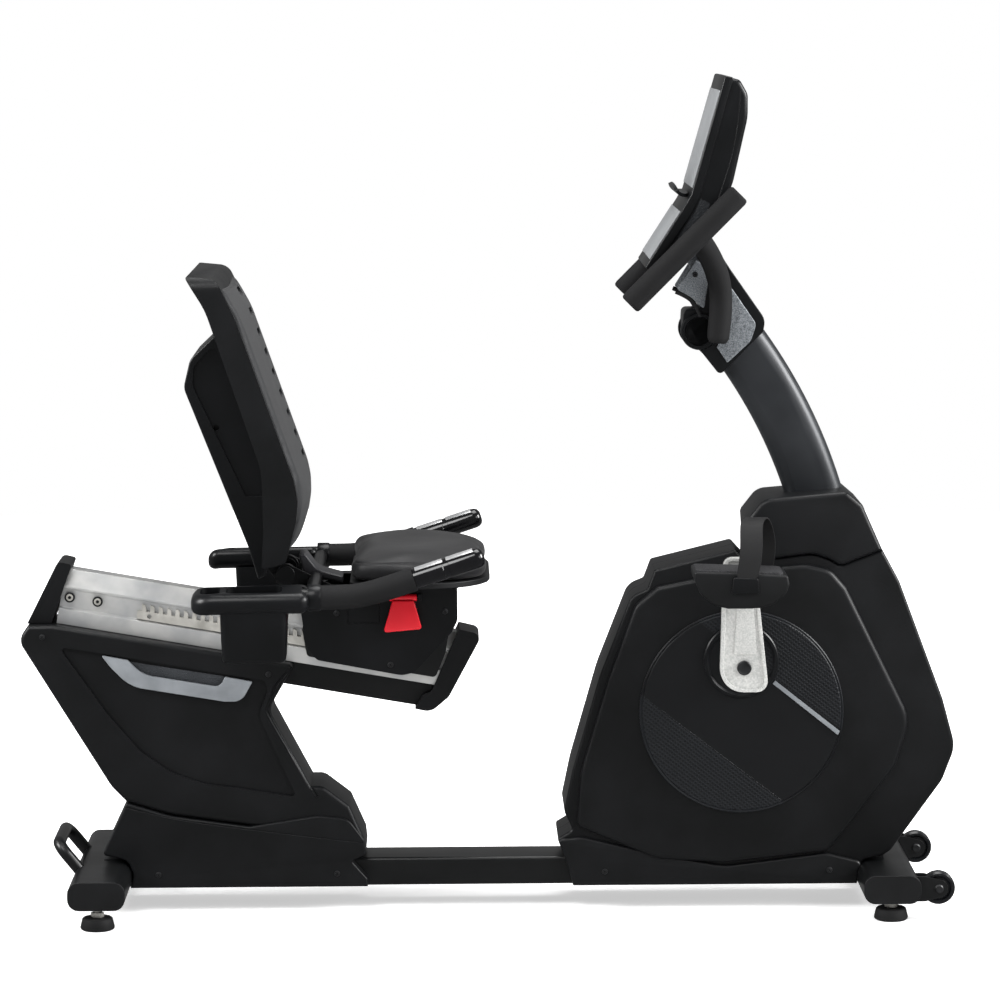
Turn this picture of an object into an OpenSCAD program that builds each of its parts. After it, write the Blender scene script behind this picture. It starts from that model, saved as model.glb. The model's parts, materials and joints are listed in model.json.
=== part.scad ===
// Recumbent exercise bike with a seat that slides along an inclined rail.
// X points forward, Y to the rider's left, Z up; the floor is Z = 0 and the
// origin is under the middle of the bike.

/* [Base] */
// Width of the main beam
beam_w = 100; // [80:5:110]
// Height of the main beam
beam_h = 50; // [40:2:50]
// Height of the beam's underside above the floor
beam_z = 40; // [38:1:44]
// Depth of a stabiliser tube, front to back
tube_w = 100; // [90:2:110]
// Height of a stabiliser tube
tube_h = 50; // [46:1:54]
// Side to side length of the rear stabiliser
rear_len = 478; // [440:2:520]
// Side to side length of the front stabiliser
front_len = 418; // [400:2:460]
// Diameter of a levelling foot
foot_d = 60; // [50:1:70]
// Height of a levelling foot's rubber pad
foot_h = 22; // [18:1:24]
// Diameter of a transport wheel
wheel_d = 58; // [50:1:60]
// Width of a transport wheel
wheel_w = 24; // [20:1:28]
// Distance between the two transport wheels
wheel_gauge = 364; // [340:2:370]

/* [Rail and seat] */
// Downward tilt of the seat rail towards the front, in degrees
rail_tilt = 9.8; // [8:0.1:11]
// Width of the aluminium seat rail
rail_w = 90; // [84:1:94]
// Height of the aluminium seat rail
rail_h = 96; // [90:1:98]
// Distance between two teeth of the seat rack
rack_pitch = 15; // [12:1:18]
// Width of the seat cushion
seat_w = 430; // [400:5:440]
// Thickness of the seat cushion
seat_t = 52; // [45:1:58]
// Distance between the two side handles
grip_gauge = 570; // [550:2:590]
// Diameter of the side handle tube
handle_d = 32; // [28:1:34]
// Width of the backrest
back_w = 430; // [400:5:440]

/* [Drive] */
// Length of a crank, from its hub to the pedal's axle
crank_len = 165; // [150:1:170]
// Backward lean of the right crank at rest, in degrees
crank_lean = 3; // [0:1:10]
// Length of a pedal, front to back
pedal_l = 160; // [140:2:170]
// Width of a pedal
pedal_w = 106; // [95:1:110]
// Diameter of the drive pulley
pulley_d = 280; // [240:10:290]
// Diameter of the flywheel
fly_d = 250; // [220:10:260]
// Width over both halves of the drive shroud
shroud_w = 190; // [180:2:200]
// Diameter of the round cover on the shroud's side
disc_d = 360; // [340:5:370]

/* [Mast and console] */
// Radius of the mast's curve
mast_r = 900; // [850:10:950]
// Depth of the mast tube, front to back
mast_w = 100; // [90:1:104]
// Width of the mast tube
mast_t = 56; // [50:1:60]
// Width of the console
console_w = 280; // [260:5:285]
// Distance between the two front handles
bar_gauge = 330; // [320:5:340]
// Diameter of a front foam grip
foam_d = 40; // [36:1:42]

/* [Hidden] */

$fn = 48;
cut = 1;              // how far a cutting shape runs past a face
wall = 3;             // plastic wall
steel = 2.5;          // tube wall
fit = 0.06;           // radial clearance of a running fit
gap = 0.4;            // clearance between moving and fixed faces

on_beam = beam_z + beam_h + 0.1; // just above the main beam
rear_x = -680;
front_x = 706;
rear_z = 63;
front_z = 58;
rear_foot_y = 213;
front_foot_y = 180;
stud_r = 5;
wheel_x = 788;
wheel_z = 57;

rail_at = [-425, 0, 457];     // underside of the rail, under the seat's rear
rail_rear = -338;             // rail ends, along the rail from rail_at
rail_front = 368;
rail_l = rail_front - rail_rear;

crank_at = [448, 447];
disc_at = [449, 356];
fly_at = [348, 232];
fly_pulley_r = 25;
belt_y = 42;
belt_w = 16;
crank_y = 172;                // middle of a crank, from the bike's middle
crank_t = 18;
pedal_y = 245;                // middle of a pedal, from the bike's middle
pedal_axle = crank_len * [-sin(crank_lean), cos(crank_lean)];

mast_at = [-276, 467];        // centre of the mast's curve
pivot_at = [-352, 600];       // hinge of the backrest
lever_at = [-145, -118, 566]; // hinge of the release lever

// ---- outlines -------------------------------------------------------------
function unit(v) = v / norm(v);
function next(i, n) = (i + 1) % n;
function prev(i, n) = (i + n - 1) % n;

// the arc that rounds corner c, between its neighbours p and n, to radius r
function corner(p, c, n, r) = r <= 0 ? [c] : let(
    u = unit(p - c), w = unit(n - c), half = acos(u * w) / 2,
    s = c + u * r / tan(half), e = c + w * r / tan(half),
    m = c + unit(u + w) * r / sin(half),
    from = atan2(s.y - m.y, s.x - m.x), to = atan2(e.y - m.y, e.x - m.x),
    turn = (to - from + 540) % 360 - 180, steps = max(2, ceil(abs(turn) / 15)))
    [for (i = [0:steps]) m + r * [cos(from + turn * i / steps), sin(from + turn * i / steps)]];

// an outline whose points are [x, y] or [x, y, corner radius]
function rounded(pts) = let(n = len(pts)) [for (i = [0:n - 1]) each corner(
    [pts[prev(i, n)].x, pts[prev(i, n)].y], [pts[i].x, pts[i].y],
    [pts[next(i, n)].x, pts[next(i, n)].y], len(pts[i]) > 2 ? pts[i][2] : 0)];

// the same outline with every side of a counter-clockwise one moved in by d
function inset(pts, d) = let(n = len(pts)) [for (i = [0:n - 1]) let(
    a = [pts[prev(i, n)].x, pts[prev(i, n)].y], b = [pts[i].x, pts[i].y],
    c = [pts[next(i, n)].x, pts[next(i, n)].y],
    u = unit(b - a), w = unit(c - b), nu = [-u.y, u.x], nw = [-w.y, w.x],
    m = unit(nu + nw), q = b + m * d / (m * nu),
    r = len(pts[i]) > 2 ? max(0, pts[i][2] + (u.x * w.y - u.y * w.x > 0 ? -d : d)) : 0)
    [q.x, q.y, r]];

function box2(x, y, w, h, r) = [[x - w / 2, y - h / 2, r], [x + w / 2, y - h / 2, r],
    [x + w / 2, y + h / 2, r], [x - w / 2, y + h / 2, r]];
function arc(c, r, from, to, steps) =
    [for (i = [0:steps]) let(a = from + (to - from) * i / steps) c + r * [cos(a), sin(a)]];

// ---- shared solids --------------------------------------------------------
// an outline in the XZ plane, from y0 to y1
module slab(pts, y0, y1) translate([0, y1, 0]) rotate([90, 0, 0])
    linear_extrude(y1 - y0) polygon(rounded(pts));

// an outline in the XY plane, from z0 to z1
module plate(pts, z0, z1) translate([0, 0, z0]) linear_extrude(z1 - z0) polygon(rounded(pts));

// a round bar along Y at [x, z]
module bar_y(at, r, y0, y1) translate([at.x, y1, at.y]) rotate([90, 0, 0]) cylinder(r = r, h = y1 - y0);

// a round bar between two points
module rod(a, b, r) translate(a) rotate([0, acos((b - a).z / norm(b - a)), atan2((b - a).y, (b - a).x)])
    cylinder(r = r, h = norm(b - a));

// a round bar along a path in the XY plane, its corners bent to a radius
module bent_rod(pts, bend, r) {
    n = len(pts);
    way = [for (i = [0:n - 2]) unit(pts[i + 1] - pts[i])];
    turn = [for (i = [0:n - 1]) i == 0 || i == n - 1 ? 0 :
        asin(way[i - 1].x * way[i].y - way[i - 1].y * way[i].x)];
    trim = [for (a = turn) bend * tan(abs(a) / 2)];
    for (i = [0:n - 2]) translate(pts[i] + way[i] * trim[i]) rotate([0, 0, atan2(way[i].y, way[i].x)])
        rotate([0, 90, 0]) cylinder(r = r, h = norm(pts[i + 1] - pts[i]) - trim[i] - trim[i + 1]);
    for (i = [1:1:n - 2]) {
        side = sign(turn[i]) * [-way[i - 1].y, way[i - 1].x];
        middle = pts[i] - way[i - 1] * trim[i] + side * bend;
        translate(middle) rotate([0, 0, atan2(-side.y, -side.x) + min(0, turn[i])])
            rotate_extrude(angle = abs(turn[i])) translate([bend, 0]) circle(r = r);
    }
}

// a ring along Y
module ring_y(at, r, hole, y0, y1) difference() {
    bar_y(at, r, y0, y1);
    bar_y(at, hole, y0 - cut, y1 + cut);
}

module both_sides() {
    children();
    mirror([0, 1, 0]) children();
}

// the seat rail's own frame: x along the rail, z square to it
module on_rail() translate(rail_at) rotate([0, rail_tilt, 0]) children();

// a cover half: an outline with a side wall at -half and a rim round it
module half_cover(pts, half, thick = wall, inner = 0.1) difference() {
    slab(pts, -half, -inner);
    slab(inset(pts, thick), -half + thick, cut);
}

// a pan head screw whose head faces -Y
module screw(at, y, r = 4.5) {
    bar_y(at, r, y - 3, y);
    bar_y(at, r / 2, y, y + 9);
}

// ---- base -----------------------------------------------------------------
module stabilizer_bar(x, z, length, grow = 0)
    slab(box2(x, z, tube_w + 2 * grow, tube_h + 2 * grow, 20), -length / 2, length / 2);

module stabilizer(x, z, length, foot_y) difference() {
    stabilizer_bar(x, z, length);
    slab(box2(x, z, tube_w - 2 * steel, tube_h - 2 * steel, 18), -length / 2 - cut, length / 2 + cut);
    for (s = [-1, 1]) translate([x, s * foot_y, 0]) cylinder(r = stud_r + fit, h = z);
}

module main_beam() color("#1d1d1f") difference() {
    rotate([90, 0, 90]) translate([0, 0, rear_x]) linear_extrude(front_x - rear_x) difference() {
        polygon(rounded(box2(0, beam_z + beam_h / 2, beam_w, beam_h, 6)));
        polygon(rounded(box2(0, beam_z + beam_h / 2, beam_w - 6, beam_h - 6, 4)));
    }
    stabilizer_bar(rear_x, rear_z, rear_len, 0.1);
    stabilizer_bar(front_x, front_z, front_len, 0.1);
}

module rear_stabilizer() color("#1d1d1f") difference() {
    stabilizer(rear_x, rear_z, rear_len, rear_foot_y);
    handle_path(0.1);
}
module front_stabilizer() color("#1d1d1f") stabilizer(front_x, front_z, front_len, front_foot_y);

module end_cap(x, z, length) {
    slab(box2(x, z, tube_w, tube_h, 20), -length / 2 - 3, -length / 2);
    slab(box2(x, z, tube_w - 2 * steel - 1, tube_h - 2 * steel - 1, 17), -length / 2, -length / 2 + 10);
}

module stabilizer_caps() color("#141416") both_sides() {
    end_cap(rear_x, rear_z, rear_len);
    end_cap(front_x, front_z, front_len);
}

// the two cheeks that carry a transport wheel
module wheel_brackets() color("#1d1d1f") for (s = [-1, 1], side = [-1, 1]) difference() {
    translate([0, s * wheel_gauge / 2 + side * (wheel_w / 2 + 3.5), 0]) slab([[front_x + 30, wheel_z - 22],
        [front_x + 58, wheel_z - 22, 6], [wheel_x + 15, wheel_z - 12, 14],
        [wheel_x + 15, wheel_z + 13, 14], [front_x + 58, wheel_z + 22, 6],
        [front_x + 30, wheel_z + 22]], -2, 2);
    stabilizer_bar(front_x, front_z, front_len, 0.1);
    bar_y([wheel_x, wheel_z], stud_r, -300, 300);
}

// the rear lifting handle, a bent bar that leans back from its feet in the stabiliser
handle_w = 170;
handle_reach = 66;
module handle_path(grow = 0) translate([-716, 0, 74]) rotate([0, -39, 0]) rotate([90, 0, 90])
    bent_rod([[-handle_w / 2, -4], [-handle_w / 2, handle_reach], [handle_w / 2, handle_reach],
        [handle_w / 2, -4]], 24, 11 + grow);

module carry_handle() color("#1d1d1f") difference() {
    handle_path();
    slab(box2(rear_x, rear_z, tube_w - 2 * steel, tube_h - 2 * steel, 18), -120, 120);
}

module foot(x, y) {
    color("#161617") translate([x, y, 0]) difference() {
        cylinder(r1 = foot_d / 2, r2 = foot_d / 2 - 3, h = foot_h);
        translate([0, 0, 6]) cylinder(r = stud_r - 0.5, h = foot_h);
    }
    color("#b9bcc0") translate([x, y, 0]) {
        translate([0, 0, 6]) cylinder(r = stud_r - 0.5, h = foot_h - 6);
        translate([0, 0, foot_h]) cylinder(r = stud_r, h = 40);
        translate([0, 0, foot_h]) cylinder(r = 10, h = 7, $fn = 6);
    }
}
module foot_rear_right() foot(rear_x, -rear_foot_y);
module foot_rear_left() foot(rear_x, rear_foot_y);
module foot_front_right() foot(front_x, -front_foot_y);
module foot_front_left() foot(front_x, front_foot_y);

module transport_wheel(y) color("#18181a") difference() {
    bar_y([wheel_x, wheel_z], wheel_d / 2, y - wheel_w / 2, y + wheel_w / 2);
    bar_y([wheel_x, wheel_z], stud_r + fit, y - wheel_w, y + wheel_w);
    for (s = [-1, 1]) translate([0, y + s * wheel_w / 2, 0])
        ring_y([wheel_x, wheel_z], wheel_d / 2 - 7, 10, -4, 4);
}
module wheel_right() transport_wheel(-wheel_gauge / 2);
module wheel_left() transport_wheel(wheel_gauge / 2);

// ---- rear column ----------------------------------------------------------
// side view of the base cover, low at the front, round the rear stabiliser
base_pts = [[-632, 44], [-212, 44], [-212, 58], [-240, 90, 4], [-214, 102, 4], [-217, 128],
    [-420, 153, 300], [-560, 173, 120], [-637, 197], [-681, 104, 6], [-636, 94, 18], [-626, 68, 20]];

// room for the steel post inside the covers
module post_space() slab([[-563, 80], [-437, 80], [-467, 460], [-593, 460]], -25.4, 25.4);

// side view of the column's cover, a C that opens towards the front
post_pts = [[-637, 198], [-560, 174, 120], [-420, 154, 300], [-217, 129], [-243, 188, 8],
    [-290, 224, 20], [-311, 224], [-384, 362, 26], [-341, 436], [-346, 442.5], [-762, 514.4], [-806, 514],
    [-824, 488, 26], [-664, 226, 60]];

module base_covers() color("#202022") both_sides() difference() {
    half_cover(base_pts, 80);
    stabilizer_bar(rear_x, rear_z, rear_len, 1);
    translate([-900, -beam_w / 2 - 0.2, beam_z - cut]) cube([900, beam_w, beam_h + cut + 0.2]);
    post_space();
}

module post_covers() color("#202022") both_sides() difference() {
    half_cover(post_pts, 75);
    on_rail() translate([-600, -31, -46]) cube([1200, 62, 46.2]);
    post_space();
}

trim_pts = [[-678, 461, 2], [-662, 440, 40], [-628, 405, 60], [-462, 377, 20], [-432, 377, 22],
    [-412, 412, 2], [-460, 421, 2], [-470, 403, 14], [-606, 426, 50], [-631, 452, 2]];
neck_trim_pts = [[427, 968, 2], [468, 1006, 20], [478, 1036, 14], [430, 1106, 4],
    [424, 1026, 30], [408, 996, 2]];

module accent_trims() color("#9a9ca0") both_sides() {
    slab(trim_pts, -78, -75);
    slab(neck_trim_pts, -47, -44);
}

// the steel post and the beam that carries the rail
module seat_frame() color("#19191b") {
    difference() {
        slab([[-560, on_beam], [-440, on_beam], [-470, 440], [-590, 440]], -25, 25);
        slab([[-556, beam_z + beam_h], [-444, beam_z + beam_h], [-474, 441], [-586, 441]], -22, 22);
        on_rail() translate([-600, -60, -44]) cube([1200, 120, 200]);
    }
    on_rail() translate([rail_rear + 12, 0, -22]) rotate([90, 0, 90]) linear_extrude(rail_l - 44)
        difference() {
            polygon(rounded(box2(0, 0, 60, 43.8, 4)));
            polygon(rounded(box2(0, 0, 55, 38.8, 2)));
        }
}

// half of the extrusion's section: height up the rail against half width
module rail_section() {
    r = rail_w / 2;
    polygon([[-r, 0], [r, 0], [r, 27], [r - 7, 30], [r - 7, 62], [r - 3, 65], [r - 3, 68], [20, rail_h],
        [-20, rail_h], [3 - r, 68], [3 - r, 65], [7 - r, 62], [7 - r, 30], [-r, 27]]);
}

module seat_rail() color("#c3c5c7") on_rail() translate([rail_rear, 0, 0]) rotate([90, 0, 90])
    linear_extrude(rail_l) difference() {
        rail_section();
        translate([-32, 4]) square([64, 20]);
        translate([-32, 28]) square([64, 32]);
        translate([-15, 64]) square([30, 26]);
    }

// a toothed bar on the rail's right side
rack_from = -200;
rack_to = 310;
module seat_rack() color("#b3b0a8") on_rail() difference() {
    slab(concat([[rack_from, 31], [rack_to, 31], [rack_to, 46]],
        [for (i = [floor((rack_to - rack_from) / rack_pitch) - 1:-1:0])
            let(u = rack_from + i * rack_pitch + 4) each [[u + 11, 46], [u + 9, 56], [u + 2, 58], [u + 3, 46]]],
        [[rack_from, 46]]), -rail_w / 2 + 1, -rail_w / 2 + 7);
    for (u = [rack_from + 22, rack_to - 40]) bar_y([u, 38], 4, -60, 0);
}

module rail_space(from, to) on_rail()
    translate([from, -rail_w / 2 - 0.2, -0.2]) cube([to - from, rail_w + 0.4, rail_h + 0.4]);
module rail_caps() color("#1c1c1e") {
    difference() {
        slab([[-809, 515], [-766, 515], [-729, 619, 4], [-753, 625, 10]], -52, 52);
        rail_space(rail_rear - 0.1, rail_rear + 200);
    }
    difference() {
        slab([[-126, 357], [-98, 351, 26], [-66, 378, 20], [-6, 489, 12], [-48, 499, 2], [-97, 388, 6],
            [-112, 382, 10]], -48, 48);
        rail_space(200, rail_front + 0.1);
        on_rail() translate([0, -30.2, -44]) cube([rail_front - 31.9, 60.4, 44.2]);
    }
}

// ---- drive ----------------------------------------------------------------
// side view of the shroud
shroud_pts = [[152, 44], [655, 44], [664, 84, 10], [700, 92], [716, 103, 10], [806, 228, 40], [829, 288, 50],
    [806, 374, 60], [728, 584, 40], [698, 640], [624, 612, 12], [604, 624, 20], [576, 634, 40], [460, 620],
    [440, 642, 6], [297, 607, 6], [284, 573, 8], [256, 562, 30], [200, 420, 200], [151, 250, 200],
    [136, 178, 16], [151, 144, 6], [124, 128, 6], [137, 96]];
collar_pts = [[463, 620.5], [575, 634.8, 40], [604, 624.8, 20], [624, 612.8, 12], [697, 640.8], [662, 720, 6],
    [634, 744, 10], [488, 732, 28], [458, 694, 10]];

module mast_space() translate([552, -30, 600]) cube([110, 60, 60]);
module shroud_half() difference() {
    half_cover(shroud_pts, shroud_w / 2);
    bar_y(crank_at, 30, -200, 1);
    translate([0, -beam_w / 2 - 0.2, 0]) cube([700, beam_w, beam_z + beam_h + 0.2]);
    stabilizer_bar(front_x, front_z, front_len, 1);
    mast_space();
}
module shroud_right() color("#222225") shroud_half();
module shroud_left() color("#222225") mirror([0, 1, 0]) shroud_half();

module shroud_collar() color("#222225") difference() {
    slab(collar_pts, -shroud_w / 2 + 3, shroud_w / 2 - 3);
    slab(inset(collar_pts, wall), -shroud_w / 2 + 6, shroud_w / 2 - 6);
    slab([[470, 600], [690, 600], [690, 625], [470, 625]], -shroud_w / 2 + 6, shroud_w / 2 - 6);
    mast_space();
    mast(0.5, 10, 30);
}

module disc_covers() color("#2b2b2e") both_sides() {
    difference() {
        bar_y(disc_at, disc_d / 2, -shroud_w / 2 - 9, -shroud_w / 2);
        bar_y(crank_at, 62.9, -200, 0);
    }
    ring_y(crank_at, 62.8, 30, -shroud_w / 2 - 20, -shroud_w / 2);
}

shell_r = 26;
bearing_r = 21;
spindle_r = 10;
fly_axle_r = 8.5;
module drive_frame() color("#19191b") {
    difference() {
        union() {
            slab([[560, on_beam], [650, on_beam], [636, 640], [560, 640]], -25, 25);
            slab(box2(513, crank_at.y, 104, 30, 0), -16, 16);
            slab(box2(643.5, 360, 8.8, 120, 0), -10, 10);
            bar_y(crank_at, shell_r, -34, 34);
        }
        slab([[563, beam_z + beam_h], [647, beam_z + beam_h], [633, 641], [563, 641]], -22, 22);
        bar_y(crank_at, bearing_r, -40, 40);
        mast(0.1, mast_foot - 0.1, 30);
    }
    for (s = [-1, 1]) difference() {
        slab([[290, on_beam], [406, on_beam], [376, 232, 20], [348, 268, 28], [320, 232, 20]],
            s * 30 - 3, s * 30 + 3);
        bar_y(fly_at, 17, -60, 60);
    }
}

module drive_bearings() color("#a7a9ac") {
    for (y = [-34, 20]) ring_y(crank_at, bearing_r, spindle_r + fit, y, y + 14);
    for (y = [-33, 27]) ring_y(fly_at, 17, fly_axle_r + fit, y, y + 6);
}

// an eddy-current brake: two magnet yokes that straddle the flywheel's rim
module brake_unit() color("#4a4c50") {
    for (s = [-1, 1]) slab([[440, 100], [505, 100], [505, 150], [468, 330, 8], [448, 330, 8], [440, 170]],
        s * 26 - 5.5, s * 26 + 5.5);
    slab([[488, on_beam], [530, on_beam], [530, 150], [490, 150], [488, 120]], -31.5, 31.5);
}

module control_board() {
    color("#2f5a3c") translate([648, -25, 300]) cube([3, 50, 120]);
    color("#2a2a2c") for (z = [310, 350, 390]) translate([651, -17, z]) cube([10, 34, 22]);
}

// the two straight runs and the two arcs of the drive belt
function tangent_turn(r1, r2) = acos((r1 - r2) / norm(fly_at - crank_at));
module belt_loop(grow) {
    along = atan2(fly_at.y - crank_at.y, fly_at.x - crank_at.x);
    r1 = pulley_d / 2 + grow;
    r2 = fly_pulley_r + grow;
    turn = tangent_turn(r1, r2);
    polygon(concat(arc(crank_at, r1, along + turn, along + 360 - turn, 48),
        arc(fly_at, r2, along - turn, along + turn, 12)));
}
module drive_belt() color("#1a1a1a") translate([0, belt_y + belt_w / 2, 0]) rotate([90, 0, 0])
    linear_extrude(belt_w) difference() {
        belt_loop(gap + 3);
        belt_loop(gap);
    }

module crank_spindle() color("#8f9194") {
    bar_y(crank_at, spindle_r, -crank_y + crank_t / 2 + 0.1, crank_y - crank_t / 2 - 0.1);
    both_sides() bar_y(crank_at, 9, -crank_y - crank_t / 2 + 1, -crank_y - crank_t / 2 + 5);
}

module drive_pulley() color("#5c5e61") difference() {
    union() {
        ring_y(crank_at, pulley_d / 2, 100, belt_y - belt_w / 2, belt_y + belt_w / 2);
        ring_y(crank_at, 104, spindle_r, belt_y - 3, belt_y + 3);
        ring_y(crank_at, 24, spindle_r, belt_y - 5, belt_y + 14);
    }
    for (a = [0:60:300]) bar_y(crank_at + 62 * [cos(a), sin(a)], 20, 0, 100);
}

// a crank with a broad hub end, leaning back by angle a
module crank_arm(y, a) translate([crank_at.x, y, crank_at.y]) rotate([0, -a, 0]) difference() {
    union() {
        bar_y([0, 0], 43, -crank_t / 2, crank_t / 2);
        bar_y([0, crank_len], 27, -crank_t / 2, crank_t / 2);
        slab([[-43, 0], [43, 0], [26, crank_len], [-26, crank_len]], -crank_t / 2, crank_t / 2);
    }
    bar_y([0, 0], 11, (y < 0 ? -crank_t / 2 : crank_t / 2) - 5, (y < 0 ? -crank_t / 2 : crank_t / 2) + 5);
    bar_y([0, crank_len], 7 + fit, -crank_t, crank_t);
}
module crank_arms() color("#c9c9cb") {
    crank_arm(-crank_y, crank_lean);
    crank_arm(crank_y, 180 + crank_lean);
}

module flywheel() color("#6d7075") {
    difference() {
        bar_y(fly_at, fly_d / 2, -18, 18);
        for (s = [-1, 1]) translate([0, s * 20, 0]) ring_y(fly_at, fly_d / 2 - 24, 34, -12, 12);
    }
    bar_y(fly_at, fly_axle_r, -60, -18);
    bar_y(fly_at, fly_axle_r, 18, belt_y - belt_w / 2);
    bar_y(fly_at, fly_pulley_r, belt_y - belt_w / 2, belt_y + belt_w / 2);
}

// a weighted pedal that hangs level from its axle, with a foot strap over it;
// side is -1 on the right
module pedal(side) {
    at = crank_at - side * pedal_axle;
    y0 = side * pedal_y - pedal_w / 2;
    y1 = side * pedal_y + pedal_w / 2;
    color("#202022") {
        difference() {
            slab([[at.x - 36, at.y - 38, 6], [at.x + 22, at.y - 38, 6], [at.x + 48, at.y - 10, 12],
                [at.x + pedal_l / 2 - 7, at.y - 2, 6], [at.x + pedal_l / 2 - 7, at.y + 16, 4],
                [at.x - pedal_l / 2 - 7, at.y + 22, 4], [at.x - pedal_l / 2 - 7, at.y + 4, 6],
                [at.x - 50, at.y - 4, 12]], y0, y1);
            bar_y(at, 7, -400, 400);
        }
        for (s = [-1, 1]) translate([at.x - 7, side * pedal_y + s * (pedal_w / 2 - 6), at.y + 19])
            slab([[-26, -10], [26, -10], [26, 0], [-26, 0]], -3, 3);
    }
    color("#8f9194") bar_y(at, 7, side < 0 ? y0 : y0 - 25, side < 0 ? y1 + 25 : y1);
    color("#252527") translate([at.x - 12, side * pedal_y, at.y]) rotate([90, 0, 90]) linear_extrude(40)
        difference() {
            polygon(rounded([[-50, 19.1], [50, 19.1], [50, 60, 30], [24, 111, 34], [-24, 111, 34], [-50, 60, 30]]));
            polygon(rounded([[-46, 19], [46, 19], [46, 58, 28], [22, 107, 32], [-22, 107, 32], [-46, 58, 28]]));
        }
}
module pedal_right() pedal(-1);
module pedal_left() pedal(1);

// ---- mast and console -----------------------------------------------------
// a stretch of the curved mast, between two angles about its centre of curve
module mast(grow, from, to) translate([mast_at.x, 0, mast_at.y]) rotate([90, 0, 0]) rotate([0, 0, from])
    rotate_extrude(angle = to - from, $fn = 96) translate([mast_r, 0])
    polygon(rounded(box2(0, 0, mast_w + 2 * grow, mast_t + 2 * grow, mast_t / 2 - 2 + grow)));

mast_foot = 11;
mast_top = 36.5;
module mast_tube() color("#1d1d1f") difference() {
    mast(0, mast_foot, mast_top);
    mast(-steel, mast_foot - 1, mast_top + 1);
}

neck_pts = [[348, 1020, 26], [384, 984], [414, 946, 8], [490, 1022, 4], [494, 1044, 24], [434, 1130, 60],
    [400, 1182, 4], [368, 1182, 2], [390, 1110, 30], [384, 1062, 20], [350, 1062, 20]];
neck_half = 44;
module neck_covers() color("#232326") both_sides() difference() {
    half_cover(neck_pts, neck_half);
    mast(0.5, 20, mast_top + 0.5);
    bracket_core(0.3);
}

// the steel head that joins mast, handlebar and console
bar_at = [357, 1187];
module bracket_core(grow) slab([[396 - grow, 1006], [440, 1050], [404 + grow, 1120], [398 + grow, 1172 + grow],
    [346 - grow, 1222 + grow], [328 - grow, 1196 - grow], [372 - grow, 1120]], -26 - grow, 26 + grow);
module console_bracket() {
    color("#8f9194") difference() {
        bracket_core(0);
        mast(0.1, 20, mast_top);
        bar_y(bar_at, 13.05, -60, 60);
    }
    color("#a9abae") both_sides()
        slab([[338, 1098, 4], [362, 1084, 20], [386, 1062, 4], [394, 1122, 16], [384, 1142, 10],
            [371, 1150, 3]], -50, -44.1);
}

grip_low = [250, 1080];
grip_high = [440, 1270];
module front_bar(r, past) both_sides() rod([grip_low.x + 8 - past, bar_gauge / 2, grip_low.y + 8 - past],
    [grip_high.x - 8 + past, bar_gauge / 2, grip_high.y - 8 + past], r);
module front_cross(r) bar_y(bar_at, r, -bar_gauge / 2, bar_gauge / 2);
module front_handlebar() color("#1d1d1f") difference() {
    union() {
        front_bar(14, 0);
        front_cross(13);
    }
    front_bar(11.5, 1);
}
module front_grips() color("#19191a") both_sides() difference() {
    rod([grip_low.x, bar_gauge / 2, grip_low.y], [grip_high.x, bar_gauge / 2, grip_high.y], foam_d / 2);
    front_bar(14.05, 0.1);
    front_cross(13.05);
}

console_front_pts = [[266, 1146, 3], [281, 1135, 3], [352, 1240], [364, 1264], [422, 1470, 3], [405, 1472, 4],
    [347, 1270], [336, 1252]];
console_back_pts = [[282, 1134.6], [294, 1126, 8], [330, 1156, 30], [396, 1216, 30], [428, 1285, 80],
    [456, 1400, 80], [447, 1464, 10], [422.5, 1470], [364.5, 1264], [352.5, 1240]];
module console_front() color("#1e1e20") {
    slab(console_front_pts, -console_w / 2, console_w / 2);
    slab([[346.2, 1264], [330, 1266, 3], [322, 1282, 1], [326, 1283, 1], [336, 1271, 3],
        [347, 1269.5]], -100, 100);
}
module console_back() color("#232326") difference() {
    slab(console_back_pts, -console_w / 2 + 2, console_w / 2 - 2);
    slab(inset(console_back_pts, wall), -console_w / 2 + 5, console_w / 2 - 5);
    bracket_core(0.3);
    bar_y(bar_at, 14.5, -200, 200);
}

// a thin sheet that lies on the line from a to b
function strip(a, b, t) = let(u = unit(b - a), n = [-u.y, u.x]) [a + n * 0.15, b + n * 0.15,
    b + n * t, a + n * t];
module console_overlays() color("#c9cbcd") {
    slab(strip([350, 1280.6], [400, 1454.4], 1.2), -118, 118);
    slab(strip([276, 1161.1], [330, 1242.9], 1.2), -118, 118);
}

module frame_screws() color("#2b2b2d") {
    for (p = [[-582, 68], [-266, 68]]) screw(p, -80);
    for (p = [[-781, 494], [-384, 425]]) screw(p, -75);
    for (p = [[208, 70], [606, 70]]) screw(p, -shroud_w / 2);
    for (p = [[-734, 560], [-685, 552], [-90, 446]]) screw(p, -rail_w / 2 + 7, 6);
    screw([370, 1124], -50, 6);
    for (s = [-1, 1]) translate([0, s * wheel_gauge / 2, 0]) {
        bar_y([wheel_x, wheel_z], stud_r, -wheel_w / 2 - 6, wheel_w / 2 + 6);
        for (side = [-1, 1]) translate([0, side * (wheel_w / 2 + 7.5), 0])
            bar_y([wheel_x, wheel_z], 8, -1.9, 1.9);
    }
}

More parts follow.
